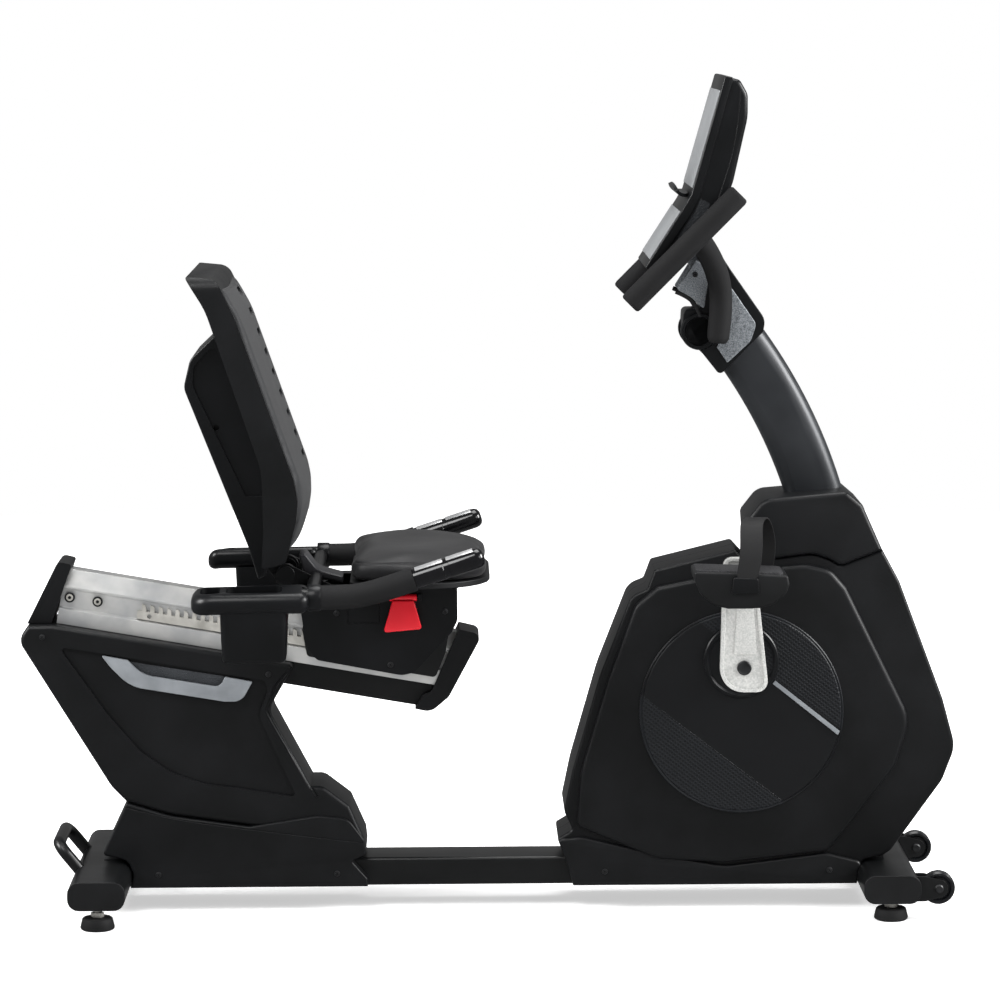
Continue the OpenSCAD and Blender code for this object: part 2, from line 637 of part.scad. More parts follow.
// ---- carriage -------------------------------------------------------------
handle_z = 590;
tube_at = [-300, handle_z];   // cross tube of the side handlebar
tube_r = 12;
module carriage_frame() color("#19191b") {
    on_rail() {
        for (s = [-1, 1]) translate([0, s * 52.5, 0])
            slab([[108, 15, 8], [338, 15, 8], [348, 60], [348, 120], [92, 120], [92, 60]], -2.5, 2.5);
        translate([92, -70, 120]) cube([256, 140, 6]);
    }
    difference() {
        union() {
            for (s = [-1, 1]) translate([0, s * 43, 0]) {
                slab([[-250, 530], [-90, 510], [-40, 586], [-236, 586]], -3, 3);
                slab([[-322, 540], [-278, 540], [-278, 588], [-322, 588]], -8, 8);
            }
            for (s = [-1, 1]) translate([0, s * 65, 0]) {
                slab([[-318, 540], [-260, 540], [-262, 578], [-340, 616, 8], [-370, 600, 12]], -3, 3);
                bar_y(pivot_at, 20, -3, 3);
            }
            bar_y(pivot_at, 8, -70, 70);
        }
        on_rail() translate([0, -100, 60]) cube([400, 200, 66]);
        bar_y(tube_at, tube_r + 0.1, -100, 100);
    }
    plate([[-236, -110, 10], [-40, -110, 10], [-40, 110, 10], [-236, 110, 10]], 586, 591.8);
    both_sides() bar_y(pivot_at, 17, -76, -70);
}

module glide_pads() color("#d8d8d2") on_rail() {
    for (s = [-1, 1], u = [108, 306]) translate([u, s * 47.6 - 2.3, 20]) cube([30, 4.6, 6.6]);
    for (u = [108, 306]) translate([u, -18, rail_h + 0.4]) cube([30, 36, 119.9 - rail_h - 0.4]);
}

carriage_pts = [[-316, 480, 12], [-297, 455, 14], [-148, 427, 30], [-126, 432, 20], [-60, 503, 12], [-50, 524, 16],
    [-50, 577, 8], [-64, 584, 4], [-240, 584], [-330, 584]];
module carriage_covers() color("#202022") {
    both_sides() difference() {
        half_cover(carriage_pts, 110, wall, 58);
        translate([-345, -75, 556]) cube([106, 80, 60]);
        bar_y(tube_at, tube_r + 1, -200, 0);
        translate([-242, -111, 520]) cube([56, 10, 50]);
    }
    for (x = [-177, -119]) translate([x, -124, 560]) cube([6, 14, 12]);
    rod([-174, lever_at.y, lever_at.z], [-116, lever_at.y, lever_at.z], 3);
}

seat_pts = [[-243, -seat_w / 2, 45], [13, -seat_w / 2, 130], [13, seat_w / 2, 130], [-243, seat_w / 2, 45]];
module seat_pan() color("#1c1c1e") plate(inset(seat_pts, 6), 592, 602.7);
module seat_cushion() color("#262628") plate(seat_pts, 603, 603 + seat_t);

// side view of the side handle's centre line, from its pod to its tip
handle_run = [[-318, handle_z], [-236, handle_z], [-170, 606], [-12, 658]];
handle_tip = [handle_run[3].x, -grip_gauge / 2, handle_run[3].y];
module handle_tube(inside) {
    r = handle_d / 2 - inside;
    y = -grip_gauge / 2;
    points = concat([handle_run[0] - [inside, 0]], [handle_run[1], handle_run[2]],
        [handle_run[3] + inside * unit(handle_run[3] - handle_run[2])]);
    both_sides() {
        for (i = [0:2]) rod([points[i].x, y, points[i].y], [points[i + 1].x, y, points[i + 1].y], r);
        for (i = [1, 2]) translate([points[i].x, y, points[i].y]) sphere(r = r + 0.5);
    }
}
module side_handlebar() color("#1d1d1f") difference() {
    union() {
        handle_tube(0);
        bar_y(tube_at, tube_r, -grip_gauge / 2, grip_gauge / 2);
    }
    handle_tube(steel);
}

grip_slope = atan2(handle_run[3].y - handle_run[2].y, handle_run[3].x - handle_run[2].x);
// the right grip's own frame: x along it, from the tip backwards
module on_grip() translate(handle_tip) rotate([0, -grip_slope, 0]) children();
module side_grips() color("#161618") both_sides() on_grip() {
    rotate([0, -90, 0]) difference() {
        cylinder(r = handle_d / 2 + 2, h = 118);
        translate([0, 0, -0.1]) cylinder(r = handle_d / 2 + 0.05, h = 120);
    }
    rotate([0, 90, 0]) translate([0, 0, 0.1]) cylinder(r1 = handle_d / 2 + 2, r2 = handle_d / 2 - 4, h = 8);
}
module pulse_plates() color("#c9cacc") both_sides() on_grip() for (x = [12, 66]) translate([-x, 0, 0])
    rotate([0, -90, 0]) difference() {
        cylinder(r = handle_d / 2 + 3, h = 44);
        translate([0, 0, -1]) cylinder(r = handle_d / 2 + 2.05, h = 46);
        translate([-60, -30, -1]) cube([68, 60, 46]);
    }

pod_y = grip_gauge / 2;
function pod_plan(rear, front, half, r_rear, r_front) = [[rear, -half - pod_y, r_rear],
    [front, -half - pod_y, r_front], [front, half - pod_y, r_front], [rear, half - pod_y, r_rear]];
module storage_pod() difference() {
    union() {
        plate(pod_plan(-506, -304, 40, 38, 14), 572, 606);
        plate(pod_plan(-458, -338, 36, 12, 12), 482, 572);
    }
    plate(pod_plan(-452, -344, 31, 10, 10), 487, 620);
    plate(pod_plan(-496, -458, 31, 28, 4), 582, 620);
    rod([-320, -pod_y, handle_z], [-240, -pod_y, handle_z], handle_d / 2 + 0.1);
    bar_y(tube_at, tube_r + 0.2, -pod_y, -pod_y + 60);
}
module storage_pod_right() color("#202022") storage_pod();
module storage_pod_left() color("#202022") mirror([0, 1, 0]) storage_pod();

module bracket_cover() color("#6a6b6e") difference() {
    slab([[-322, 598, 4], [-252, 580], [-252, 593], [-296, 605, 30], [-318, 634, 6], [-330, 632, 4]], -36, 36);
    bar_y(tube_at, tube_r + 0.2, -60, 60);
}

// ---- backrest -------------------------------------------------------------
// side view of the backrest: pad and shell together
back_pts = [[-377, 628, 6], [-341, 642, 8], [-317, 748, 120], [-428, 1062, 120], [-462, 1130, 24],
    [-516, 1134, 4], [-478, 1080, 90], [-371, 785, 120], [-370, 700, 60]];
shell_t = 8;
module backrest_cushion() color("#333335") intersection() {
    slab(back_pts, -back_w / 2, back_w / 2);
    translate([shell_t + 0.3, 0, 0]) slab(back_pts, -back_w / 2, back_w / 2);
}
module backrest_shell() color("#1e1e20") difference() {
    slab(back_pts, -back_w / 2 + 3, back_w / 2 - 3);
    translate([shell_t, 0, 0]) slab(back_pts, -back_w / 2, back_w / 2);
}

rear_pts = [[-398, 599, 4], [-386, 606], [-360, 700], [-360, 790], [-466, 1030], [-512, 986, 22], [-524, 936, 26],
    [-414, 655, 80]];
arm_pts = [[-364, 584], [-336, 612], [-382, 624], [-386, 650], [-380, 700], [-380, 760], [-404, 832],
    [-430, 900], [-462, 900], [-416, 770], [-404, 690], [-404, 640]];
module backrest_arms() color("#19191b") for (s = [-1, 1]) translate([0, s * 57, 0]) difference() {
    union() {
        slab(arm_pts, -3, 3);
        bar_y(pivot_at, 20, -3, 3);
    }
    bar_y(pivot_at, 8 + fit, -10, 10);
    translate([-0.3, 0, 0]) slab(back_pts, -10, 10);
}
module backrest_rear_cover() color("#232325") difference() {
    slab(rear_pts, -118, 118);
    slab(inset(rear_pts, wall), -115, 115);
    translate([-0.3, 0, 0]) slab(back_pts, -200, 200);
    translate([-404, -62, 590]) cube([60, 124, 60]);
    bar_y([-466, 857], 4, -130, -100);
}

// ---- seat latch -----------------------------------------------------------
module release_lever() color("#c8242c") difference() {
    union() {
        slab([[-178, 506, 4], [-113, 512, 4], [-126, 562, 4], [-164, 562, 4]], lever_at.y - 8, lever_at.y - 2);
        rod([-170, lever_at.y, lever_at.z], [-120, lever_at.y, lever_at.z], 6.5);
    }
    rod([-180, lever_at.y, lever_at.z], [-110, lever_at.y, lever_at.z], 3 + fit);
}
module latch_pin() color("#9a9ca0") on_rail()
    slab([[281, 58.6], [285, 58.6], [290, 66], [290, 104], [276, 104], [276, 66]], -48.4, -42.7);

main_beam();
rear_stabilizer();
front_stabilizer();
stabilizer_caps();
wheel_brackets();
carry_handle();
base_covers();
post_covers();
accent_trims();
seat_frame();
seat_rail();
seat_rack();
rail_caps();
drive_frame();
shroud_right();
shroud_left();
shroud_collar();
disc_covers();
drive_bearings();
brake_unit();
control_board();
drive_belt();
mast_tube();
neck_covers();
console_bracket();
front_handlebar();
front_grips();
console_back();
console_front();
console_overlays();
frame_screws();
carriage_frame();
glide_pads();
carriage_covers();
seat_pan();
seat_cushion();
side_handlebar();
side_grips();
pulse_plates();
storage_pod_right();
storage_pod_left();
bracket_cover();
backrest_arms();
backrest_shell();
backrest_cushion();
backrest_rear_cover();
release_lever();
latch_pin();
foot_rear_right();
foot_rear_left();
foot_front_right();
foot_front_left();
wheel_right();
wheel_left();
crank_spindle();
drive_pulley();
crank_arms();
flywheel();
pedal_right();
pedal_left();
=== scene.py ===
# Recumbent exercise bike: the looks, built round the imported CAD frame.
import json
import math

import bmesh
import bpy
from mathutils import Matrix, Vector


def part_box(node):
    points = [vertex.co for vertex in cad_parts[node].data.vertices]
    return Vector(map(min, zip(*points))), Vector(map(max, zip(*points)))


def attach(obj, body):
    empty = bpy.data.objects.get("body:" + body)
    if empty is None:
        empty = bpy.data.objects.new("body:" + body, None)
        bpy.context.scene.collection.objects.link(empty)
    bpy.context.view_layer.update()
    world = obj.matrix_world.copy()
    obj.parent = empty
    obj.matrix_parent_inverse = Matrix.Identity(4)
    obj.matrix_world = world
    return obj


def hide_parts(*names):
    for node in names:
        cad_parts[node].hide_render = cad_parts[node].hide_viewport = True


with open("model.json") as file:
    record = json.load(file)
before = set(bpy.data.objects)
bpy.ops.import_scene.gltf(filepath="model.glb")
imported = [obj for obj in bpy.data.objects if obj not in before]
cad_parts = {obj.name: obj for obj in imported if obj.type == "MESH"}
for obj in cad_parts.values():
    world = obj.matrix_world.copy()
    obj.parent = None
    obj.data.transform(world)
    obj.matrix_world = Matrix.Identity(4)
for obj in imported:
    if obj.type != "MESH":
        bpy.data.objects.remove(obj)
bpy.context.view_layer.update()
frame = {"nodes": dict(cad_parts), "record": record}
bodyOf = {n: b for b, nodes in frame["record"]["behaviour"]["bodies"].items() for n in nodes}
print("frame loaded, nodes:", len(frame["nodes"]))

# camera first: it stands far off to the rider's right and a little above
cameraValues = {"place": (-0.070, -7.5, 1.600), "lens": 153.36, "pitch": 6.67, "yaw": 0.74, "roll": 0.29}


def makeCamera(v):
    data = bpy.data.cameras.new("sideCamera")
    data.lens = v["lens"]
    data.sensor_width = 36
    data.clip_end = 60
    camera = bpy.data.objects.new("sideCamera", data)
    bpy.context.collection.objects.link(camera)
    turn = (Matrix.Rotation(math.radians(-v["yaw"]), 4, "Z")
            @ Matrix.Rotation(math.radians(90 - v["pitch"]), 4, "X")
            @ Matrix.Rotation(math.radians(-v["roll"]), 4, "Z"))
    camera.matrix_world = Matrix.Translation(v["place"]) @ turn
    bpy.context.scene.camera = camera


makeCamera(cameraValues)


# ---- materials
def linear(hexColour):
    parts = [int(hexColour[i:i + 2], 16) / 255 for i in (1, 3, 5)]
    return tuple(c / 12.92 if c <= 0.04045 else ((c + 0.055) / 1.055) ** 2.4 for c in parts) + (1.0,)


def addNode(tree, kind, values=None, links=None, **settings):
    # values go on sockets by name or number, links come from (node, socket) pairs
    n = tree.nodes.new(kind)
    for key, value in settings.items():
        setattr(n, key, value)
    for key, value in (values or {}).items():
        n.inputs[key].default_value = value
    for key, (source, socket) in (links or {}).items():
        tree.links.new(source.outputs[socket], n.inputs[key])
    return n


def blankMaterial(name, values):
    m = bpy.data.materials.new(name)
    m.use_nodes = True
    tree = m.node_tree
    tree.nodes.clear()
    shader = addNode(tree, "ShaderNodeBsdfPrincipled", values)
    out = addNode(tree, "ShaderNodeOutputMaterial", None, {"Surface": (shader, "BSDF")})
    where = addNode(tree, "ShaderNodeTexCoord")
    return m, tree, shader, where


def surface(name, dark, light, rough=(0.4, 0.5), metallic=0.0, grainMm=1.0, bump=0.15, depthMm=0.05,
            stretch=(1, 1, 1), blotchMm=120, pattern="noise", coat=0.0, specular=0.5, sheen=0.0, seam=None):
    # one procedural finish: a fine grain for bump and a slow blotch for colour and gloss
    values = {"Metallic": metallic, "Coat Weight": coat, "Specular IOR Level": specular,
              "Sheen Weight": sheen}
    m, tree, shader, where = blankMaterial(name, values)
    slow = addNode(tree, "ShaderNodeTexNoise", {"Scale": 1000 / blotchMm, "Detail": 3.0},
                   {"Vector": (where, "Object")})
    colour = addNode(tree, "ShaderNodeMix", None, None, data_type="RGBA")
    colour.inputs["A"].default_value = linear(dark)
    colour.inputs["B"].default_value = linear(light)
    spread = addNode(tree, "ShaderNodeMapRange", {"From Min": 0.35, "From Max": 0.65}, {"Value": (slow, 0)})
    tree.links.new(spread.outputs[0], colour.inputs["Factor"])
    tree.links.new(colour.outputs["Result"], shader.inputs["Base Color"])
    mapping = addNode(tree, "ShaderNodeMapping", {"Scale": stretch}, {"Vector": (where, "Object")})
    if pattern == "cells":
        grain = addNode(tree, "ShaderNodeTexVoronoi", {"Scale": 1000 / grainMm}, {"Vector": (mapping, 0)},
                        feature="DISTANCE_TO_EDGE")
    else:
        grain = addNode(tree, "ShaderNodeTexNoise", {"Scale": 1000 / grainMm, "Detail": 2.0},
                        {"Vector": (mapping, 0)})
    roughness = addNode(tree, "ShaderNodeMapRange", {"From Min": 0.3, "From Max": 0.7, "To Min": rough[0],
                        "To Max": rough[1]}, {"Value": (slow, 0)})
    tree.links.new(roughness.outputs[0], shader.inputs["Roughness"])
    lift = addNode(tree, "ShaderNodeBump", {"Strength": bump, "Distance": depthMm / 1000},
                   {"Height": (grain, 0)})
    if seam:  # a sewn line at one height, (height, half width) in mm
        parts = addNode(tree, "ShaderNodeSeparateXYZ", None, {0: (where, "Object")})
        away = addNode(tree, "ShaderNodeMath", {1: -seam[0] / 1000}, {0: (parts, "Z")}, operation="ADD")
        away = addNode(tree, "ShaderNodeMath", None, {0: (away, 0)}, operation="ABSOLUTE")
        rise = addNode(tree, "ShaderNodeMapRange", {"From Max": seam[1] * 2.2 / 1000}, {"Value": (away, 0)})
        lift = addNode(tree, "ShaderNodeBump", {"Strength": 1.0, "Distance": 0.0016},
                       {"Height": (rise, 0), "Normal": (lift, 0)})
    tree.links.new(lift.outputs[0], shader.inputs["Normal"])
    return m


# textured ABS, moulded: near black with a slight blue, broad soft highlights
mouldedAbs = surface("mouldedAbs", "#0a0b0c", "#0e0f11", (0.38, 0.46), grainMm=2.2, bump=0.5, depthMm=0.25,
                     specular=0.26)
# smooth ABS, moulded: the same black with clearer highlights
smoothAbs = surface("smoothAbs", "#090a0b", "#0c0d0f", (0.28, 0.36), grainMm=3.0, bump=0.15, depthMm=0.1,
                    specular=0.26)
# charcoal ABS, moulded: the pivot's cover
charcoalAbs = surface("charcoalAbs", "#2c2c2f", "#333336", (0.36, 0.44), grainMm=2.5, bump=0.3, depthMm=0.15,
                      specular=0.4)
# polypropylene, moulded: seat pan, pedals and caps
mattePolypropylene = surface("mattePolypropylene", "#0b0c0d", "#101113", (0.46, 0.56), grainMm=2.5, bump=0.4,
                             depthMm=0.2, specular=0.3)
# powder coat on steel tube: satin with a faint orange peel
powderCoat = surface("powderCoat", "#0a0b0c", "#0e0f10", (0.30, 0.38), grainMm=3.5, bump=0.35, depthMm=0.12,
                     specular=0.4)
# dark metallic paint on the curved mast
mastPaint = surface("mastPaint", "#202225", "#292b2e", (0.34, 0.42), metallic=0.3, grainMm=2.0, bump=0.3,
                    depthMm=0.1)
# extruded aluminium, brushed along its length
brushedAluminium = surface("brushedAluminium", "#a3a4a5", "#bcbcba", (0.30, 0.38), metallic=0.45, grainMm=2.5,
                           bump=0.25, depthMm=0.06, stretch=(0.04, 1, 1), blotchMm=60)
# zinc plated steel: warm grey, slightly mottled
zincPlate = surface("zincPlate", "#9a9892", "#bab8b2", (0.35, 0.45), metallic=0.45, grainMm=4, bump=0.2,
                    depthMm=0.05, blotchMm=30)
# satin silver paint on ABS
silverPaint = surface("silverPaint", "#6c7074", "#7c8084", (0.40, 0.48), metallic=0.2, grainMm=1.6, bump=0.2,
                      depthMm=0.04, blotchMm=50)
# hammered grey paint on the neck's castings: fine bright flecks
speckledMetal = surface("speckledMetal", "#44484c", "#7a7e82", (0.40, 0.5), metallic=0.3, grainMm=1.8,
                        bump=0.3, depthMm=0.1, blotchMm=2.0)
# cast aluminium, blasted and clear coated
castAluminium = surface("castAluminium", "#a8a9a7", "#c2c2bf", (0.42, 0.52), metallic=0.3, grainMm=2.0,
                        bump=0.5, depthMm=0.2, blotchMm=3)
# stainless sensor plates, polished
stainless = surface("stainless", "#b8b9ba", "#c6c6c6", (0.26, 0.32), metallic=0.6, grainMm=6.0, bump=0.05,
                    depthMm=0.02, blotchMm=40)
# black oxide screws
blackOxide = surface("blackOxide", "#121314", "#1c1d1f", (0.35, 0.5), metallic=0.2, grainMm=1.5, bump=0.2,
                     depthMm=0.04, blotchMm=8)
# foam grip, closed cell: matte with small pores
foamGrip = surface("foamGrip", "#101011", "#141415", (0.72, 0.85), grainMm=1.8, bump=0.55, depthMm=0.35,
                   specular=0.22)
# gloss ABS grips
glossAbs = surface("glossAbs", "#08080a", "#0c0c0e", (0.12, 0.18), grainMm=6, bump=0.05, depthMm=0.05,
                   coat=0.2, specular=0.4)
# red stove enamel on the die-cast lever
redPaint = surface("redPaint", "#a8101c", "#b81824", (0.22, 0.3), grainMm=6, bump=0.05, depthMm=0.05,
                   coat=0.2, specular=0.35)
# vinyl upholstery: black with a pebbled grain and a sewn seam round the side
seamedVinyl = surface("seamedVinyl", "#0c0c0e", "#101012", (0.46, 0.56), grainMm=3.2, bump=0.35, depthMm=0.3,
                      pattern="cells", sheen=0.05, specular=0.3, seam=(636, 1.1))
# integral skin foam: dark grey, soft and matte
skinFoam = surface("skinFoam", "#151618", "#1a1b1d", (0.55, 0.66), grainMm=1.8, bump=0.5, depthMm=0.25,
                   sheen=0.08, specular=0.3)
# moulded rubber feet, straps and leads
mouldedRubber = surface("mouldedRubber", "#0e0e0f", "#141415", (0.55, 0.7), grainMm=2, bump=0.4, depthMm=0.15,
                        specular=0.3)
# cast urethane rollers
castUrethane = surface("castUrethane", "#0c0d0f", "#111214", (0.20, 0.28), grainMm=5, bump=0.1, depthMm=0.1,
                       specular=0.4)
# nylon glides
nylonGlide = surface("nylonGlide", "#c9c9c2", "#d8d8d2", (0.4, 0.5), grainMm=3, bump=0.1, depthMm=0.05)
# cast iron flywheel and magnet yokes
castIron = surface("castIron", "#3a3b3e", "#4c4d50", (0.45, 0.6), metallic=0.6, grainMm=2.5, bump=0.5,
                   depthMm=0.2)
# ground steel spindle and bearings
groundSteel = surface("groundSteel", "#8d8f92", "#a8aaac", (0.2, 0.3), metallic=1.0, grainMm=1.5, bump=0.1,
                      depthMm=0.02, blotchMm=20)
# ribbed belt
beltRubber = surface("beltRubber", "#101011", "#161617", (0.6, 0.7), grainMm=2, bump=0.3, depthMm=0.1)
# lacquered board
boardLacquer = surface("boardLacquer", "#14301f", "#1b3c28", (0.3, 0.4), grainMm=4, bump=0.2, depthMm=0.1)
# printed polycarbonate film: silver grey
printedFilm = surface("printedFilm", "#7c7e80", "#858789", (0.40, 0.46), grainMm=2.5, bump=0.1,
                      depthMm=0.03)
# pierced dark grille: rows of small holes
grilleAbs = surface("grilleAbs", "#15171a", "#2c2f33", (0.45, 0.55), grainMm=4.0, bump=1.0, depthMm=1.4,
                    pattern="cells", specular=0.35)
# grit tread cast into polypropylene: paler than the pedal's body, mottled in patches about 6 mm across
gritPolypropylene = surface("gritPolypropylene", "#1a1a1c", "#2c2c2e", (0.65, 0.8), grainMm=4.5, bump=1.0,
                            depthMm=1.6, pattern="cells", specular=0.3, blotchMm=6)
print("materials made:", len(bpy.data.materials))


# ---- shaping helpers
planeAxis = {"yz": 0, "xz": 1, "xy": 2}


def onPlane(plane, level, a, b):
    # the point (a, b) of a plane at a level across it, from mm to metres
    spot = [a, b]
    spot.insert(planeAxis[plane], level)
    return [c / 1000 for c in spot]


def moveAcross(bm, grown, plane, distance):
    # what an extrusion made, moved across its plane
    move = [0, 0, 0]
    move[planeAxis[plane]] = distance / 1000
    fresh = [g for g in grown["geom"] if isinstance(g, bmesh.types.BMVert)]
    bmesh.ops.translate(bm, verts=fresh, vec=move)


def roundCorner(bm, corner, radius):
    rays = [e.other_vert(corner).co - corner.co for e in corner.link_edges]
    half = rays[0].angle(rays[1]) / 2
    reach = min(radius / 1000 / math.tan(half), 0.49 * min(r.length for r in rays))
    steps = max(2, int((math.pi - 2 * half) / 0.2))
    bmesh.ops.bevel(bm, geom=[corner], offset=reach, offset_type="OFFSET", segments=steps, profile=0.5,
                    affect="VERTICES", material=-1)


def outlineFace(points, plane, level):
    # one flat face through [a, b] or [a, b, corner radius] points in mm
    bm = bmesh.new()
    verts = [bm.verts.new(onPlane(plane, level, p[0], p[1])) for p in points]
    bm.faces.new(verts)
    for corner, p in zip(verts, points):
        if len(p) > 2:
            roundCorner(bm, corner, p[2])
    bmesh.ops.recalc_face_normals(bm, faces=bm.faces)
    return bm


def prism(points, plane, low, high, edge=(0, 0), segments=4):
    # an outline between two levels across its plane, its rims rounded by edge = (low, high) mm
    bm = outlineFace(points, plane, low)
    grown = bmesh.ops.extrude_face_region(bm, geom=list(bm.faces), use_keep_orig=True)
    moveAcross(bm, grown, plane, high - low)
    bmesh.ops.recalc_face_normals(bm, faces=bm.faces)
    axis = planeAxis[plane]
    for level, mm in zip((low, high), edge):
        rim = [e for e in bm.edges if all(abs(end.co[axis] - level / 1000) < 1e-6 for end in e.verts)]
        if mm > 0 and rim:
            bmesh.ops.bevel(bm, geom=rim, offset=mm / 1000, offset_type="OFFSET", segments=segments,
                            profile=0.5, affect="EDGES", clamp_overlap=True, material=-1)
    bmesh.ops.recalc_face_normals(bm, faces=bm.faces)
    return bm


def turned(profile, at, segments=48, axis="y"):
    # a solid of revolution: (radius, offset) points in mm about an axis through at
    bm = bmesh.new()
    way = Vector([axis == name for name in "xyz"])
    out = Vector((0, 0, 1)) if axis == "x" else Vector((1, 0, 0))
    verts = [bm.verts.new((out * radius + way * offset) / 1000) for radius, offset in profile]
    edges = [bm.edges.new(pair) for pair in zip(verts, verts[1:])]
    bmesh.ops.spin(bm, geom=verts + edges, cent=(0, 0, 0), axis=way, angle=2 * math.pi, steps=segments,
                   use_merge=True, use_duplicate=False)
    bmesh.ops.remove_doubles(bm, verts=bm.verts, dist=1e-6)
    bmesh.ops.translate(bm, verts=bm.verts, vec=Vector(at) / 1000)
    bmesh.ops.recalc_face_normals(bm, faces=bm.faces)
    return bm


def merged(*parts):
    whole = bmesh.new()
    for part in parts:
        held = bpy.data.meshes.new("held")
        part.to_mesh(held)
        part.free()
        whole.from_mesh(held)
        bpy.data.meshes.remove(held)
    return whole


def mirrored(bm):
    # the same shape on the other side of the middle plane
    other = bm.copy()
    bmesh.ops.scale(other, vec=(1, -1, 1), verts=other.verts)
    bmesh.ops.reverse_faces(other, faces=other.faces)
    return other


def bothSides(bm):
    other = mirrored(bm)
    return merged(bm, other)


def fullWidth(points, half, rounding=0, segments=4):
    # a side view's outline, half mm thick each way from the middle plane
    return prism(points, "xz", -half, half, (rounding, rounding), segments)


def sidePlates(points, low, high, edge=(0, 0), segments=4):
    # a side view's outline between two levels on the right side, and its mirror image
    return bothSides(prism(points, "xz", low, high, edge, segments))


def finishPiece(bm, name, material, node=None, body=None, slot=None, smooth=35, bevelMm=0, segments=2):
    # a piece stands for a node, or rides a named body, with the material it is given; slot is not used
    mesh = bpy.data.meshes.new(name)
    bm.to_mesh(mesh)
    bm.free()
    piece = bpy.data.objects.new(name, mesh)
    bpy.context.collection.objects.link(piece)
    mesh.materials.append(material)
    mesh.shade_smooth()
    mesh.set_sharp_from_angle(angle=math.radians(smooth))
    if bevelMm:
        m = piece.modifiers.new("edges", "BEVEL")
        m.width, m.segments = bevelMm / 1000, segments
        m.limit_method, m.angle_limit, m.harden_normals = "ANGLE", math.radians(smooth), True
    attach(piece, body or bodyOf[node])
    if node:
        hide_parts(node)
    return piece


def helper(bm):
    mesh = bpy.data.meshes.new("helper")
    bm.to_mesh(mesh)
    bm.free()
    piece = bpy.data.objects.new("helper", mesh)
    bpy.context.collection.objects.link(piece)
    return piece


def asMesh(piece):
    # a helper object's mesh with its modifiers applied; the helper goes
    bpy.context.view_layer.update()
    seen = piece.evaluated_get(bpy.context.evaluated_depsgraph_get())
    bm = bmesh.new()
    held = bpy.data.meshes.new_from_object(seen)
    bm.from_mesh(held)
    bpy.data.meshes.remove(held)
    bpy.data.objects.remove(piece)
    return bm


def carved(bm, *cutters, how="DIFFERENCE"):
    # the cutters taken out of a closed shape
    piece = helper(bm)
    tools = [helper(c) for c in cutters]
    for tool in tools:
        m = piece.modifiers.new("cut", "BOOLEAN")
        m.operation, m.solver, m.object = how, "EXACT", tool
    result = asMesh(piece)
    for tool in tools:
        bpy.data.objects.remove(tool)
    bmesh.ops.dissolve_degenerate(result, dist=1e-6, edges=result.edges)
    return result


def tube(points, radius, resolution=6, bend=True, order=3):
    # a round bar along [x, y, z] or [x, y, z, share of radius] points in mm
    data = bpy.data.curves.new("helper", "CURVE")
    data.dimensions, data.bevel_depth, data.bevel_resolution = "3D", radius / 1000, resolution
    data.use_fill_caps, data.resolution_u = True, 8
    line = data.splines.new("NURBS" if bend else "POLY")
    line.points.add(len(points) - 1)
    for spot, p in zip(line.points, points):
        spot.co = (p[0] / 1000, p[1] / 1000, p[2] / 1000, 1)
        spot.radius = p[3] if len(p) > 3 else 1
    if bend:
        line.use_endpoint_u, line.order_u = True, order
    piece = bpy.data.objects.new("helper", data)
    bpy.context.collection.objects.link(piece)
    bm = asMesh(piece)
    bpy.data.curves.remove(data)
    bmesh.ops.remove_doubles(bm, verts=bm.verts, dist=1e-6)
    bmesh.ops.recalc_face_normals(bm, faces=bm.faces)
    return bm


def sideLine(points, y, radius, **settings):
    # a bar at one distance from the middle, along [x, z] or [x, z, share of radius] points
    return tube([[p[0], y, *p[1:]] for p in points], radius, **settings)


def ribbon(points, plane, low, high, thick):
    # a strap: an open line on a plane, drawn out across it, rounded and given a thickness
    bm = bmesh.new()
    verts = [bm.verts.new(onPlane(plane, low, *p)) for p in points]
    edges = [bm.edges.new(pair) for pair in zip(verts, verts[1:])]
    grown = bmesh.ops.extrude_edge_only(bm, edges=edges)
    moveAcross(bm, grown, plane, high - low)
    piece = helper(bm)
    m = piece.modifiers.new("round", "SUBSURF")
    m.levels = m.render_levels = 2
    m = piece.modifiers.new("wall", "SOLIDIFY")
    m.thickness, m.offset = thick / 1000, 0
    bm = asMesh(piece)
    bmesh.ops.recalc_face_normals(bm, faces=bm.faces)
    return bm


# ---- base and column covers
baseValues = {
    "outline": [[-632, 44], [-212, 44], [-212, 58], [-240, 90, 4], [-214, 102, 4], [-217, 128, 8],
                [-246, 166, 24], [-300, 172, 40], [-420, 153], [-560, 173, 120], [-637, 197, 4],
                [-681, 104, 6], [-636, 94, 18], [-626, 68, 20]],
    "half": 80, "round": 9, "groove": [[-640, 190], [-560, 168], [-420, 148], [-214, 122]]}


def makeBase(v):
    groove = bothSides(sideLine(v["groove"], -v["half"] - 1, 1.8))
    base = carved(fullWidth(v["outline"], v["half"], v["round"], 5), groove)
    finishPiece(base, "baseCover", mouldedAbs, "base_covers", bevelMm=1.5)


columnValues = {
    "outline": [[-637, 198], [-560, 174, 120], [-420, 154, 300], [-217, 129], [-243, 188, 8],
                [-290, 224, 20], [-311, 224], [-384, 362, 26], [-341, 436], [-346, 442.5], [-762, 514.4],
                [-806, 514], [-824, 488, 26], [-664, 226, 60]],
    "panel": [[-752, 476, 6], [-668, 356], [-612, 290, 60], [-556, 250, 80], [-500, 230, 60],
              [-430, 220, 30], [-336, 205, 6], [-402, 352, 30], [-384, 398, 16], [-392, 414, 4],
              [-700, 468, 4]],
    "mesh": [[-636, 450, 4], [-606, 424, 10], [-470, 401, 8], [-458, 421, 4]],
    "groove": [[-352, 428], [-372, 404], [-388, 360], [-300, 205]],
    "half": 75, "round": 11, "deep": 6}


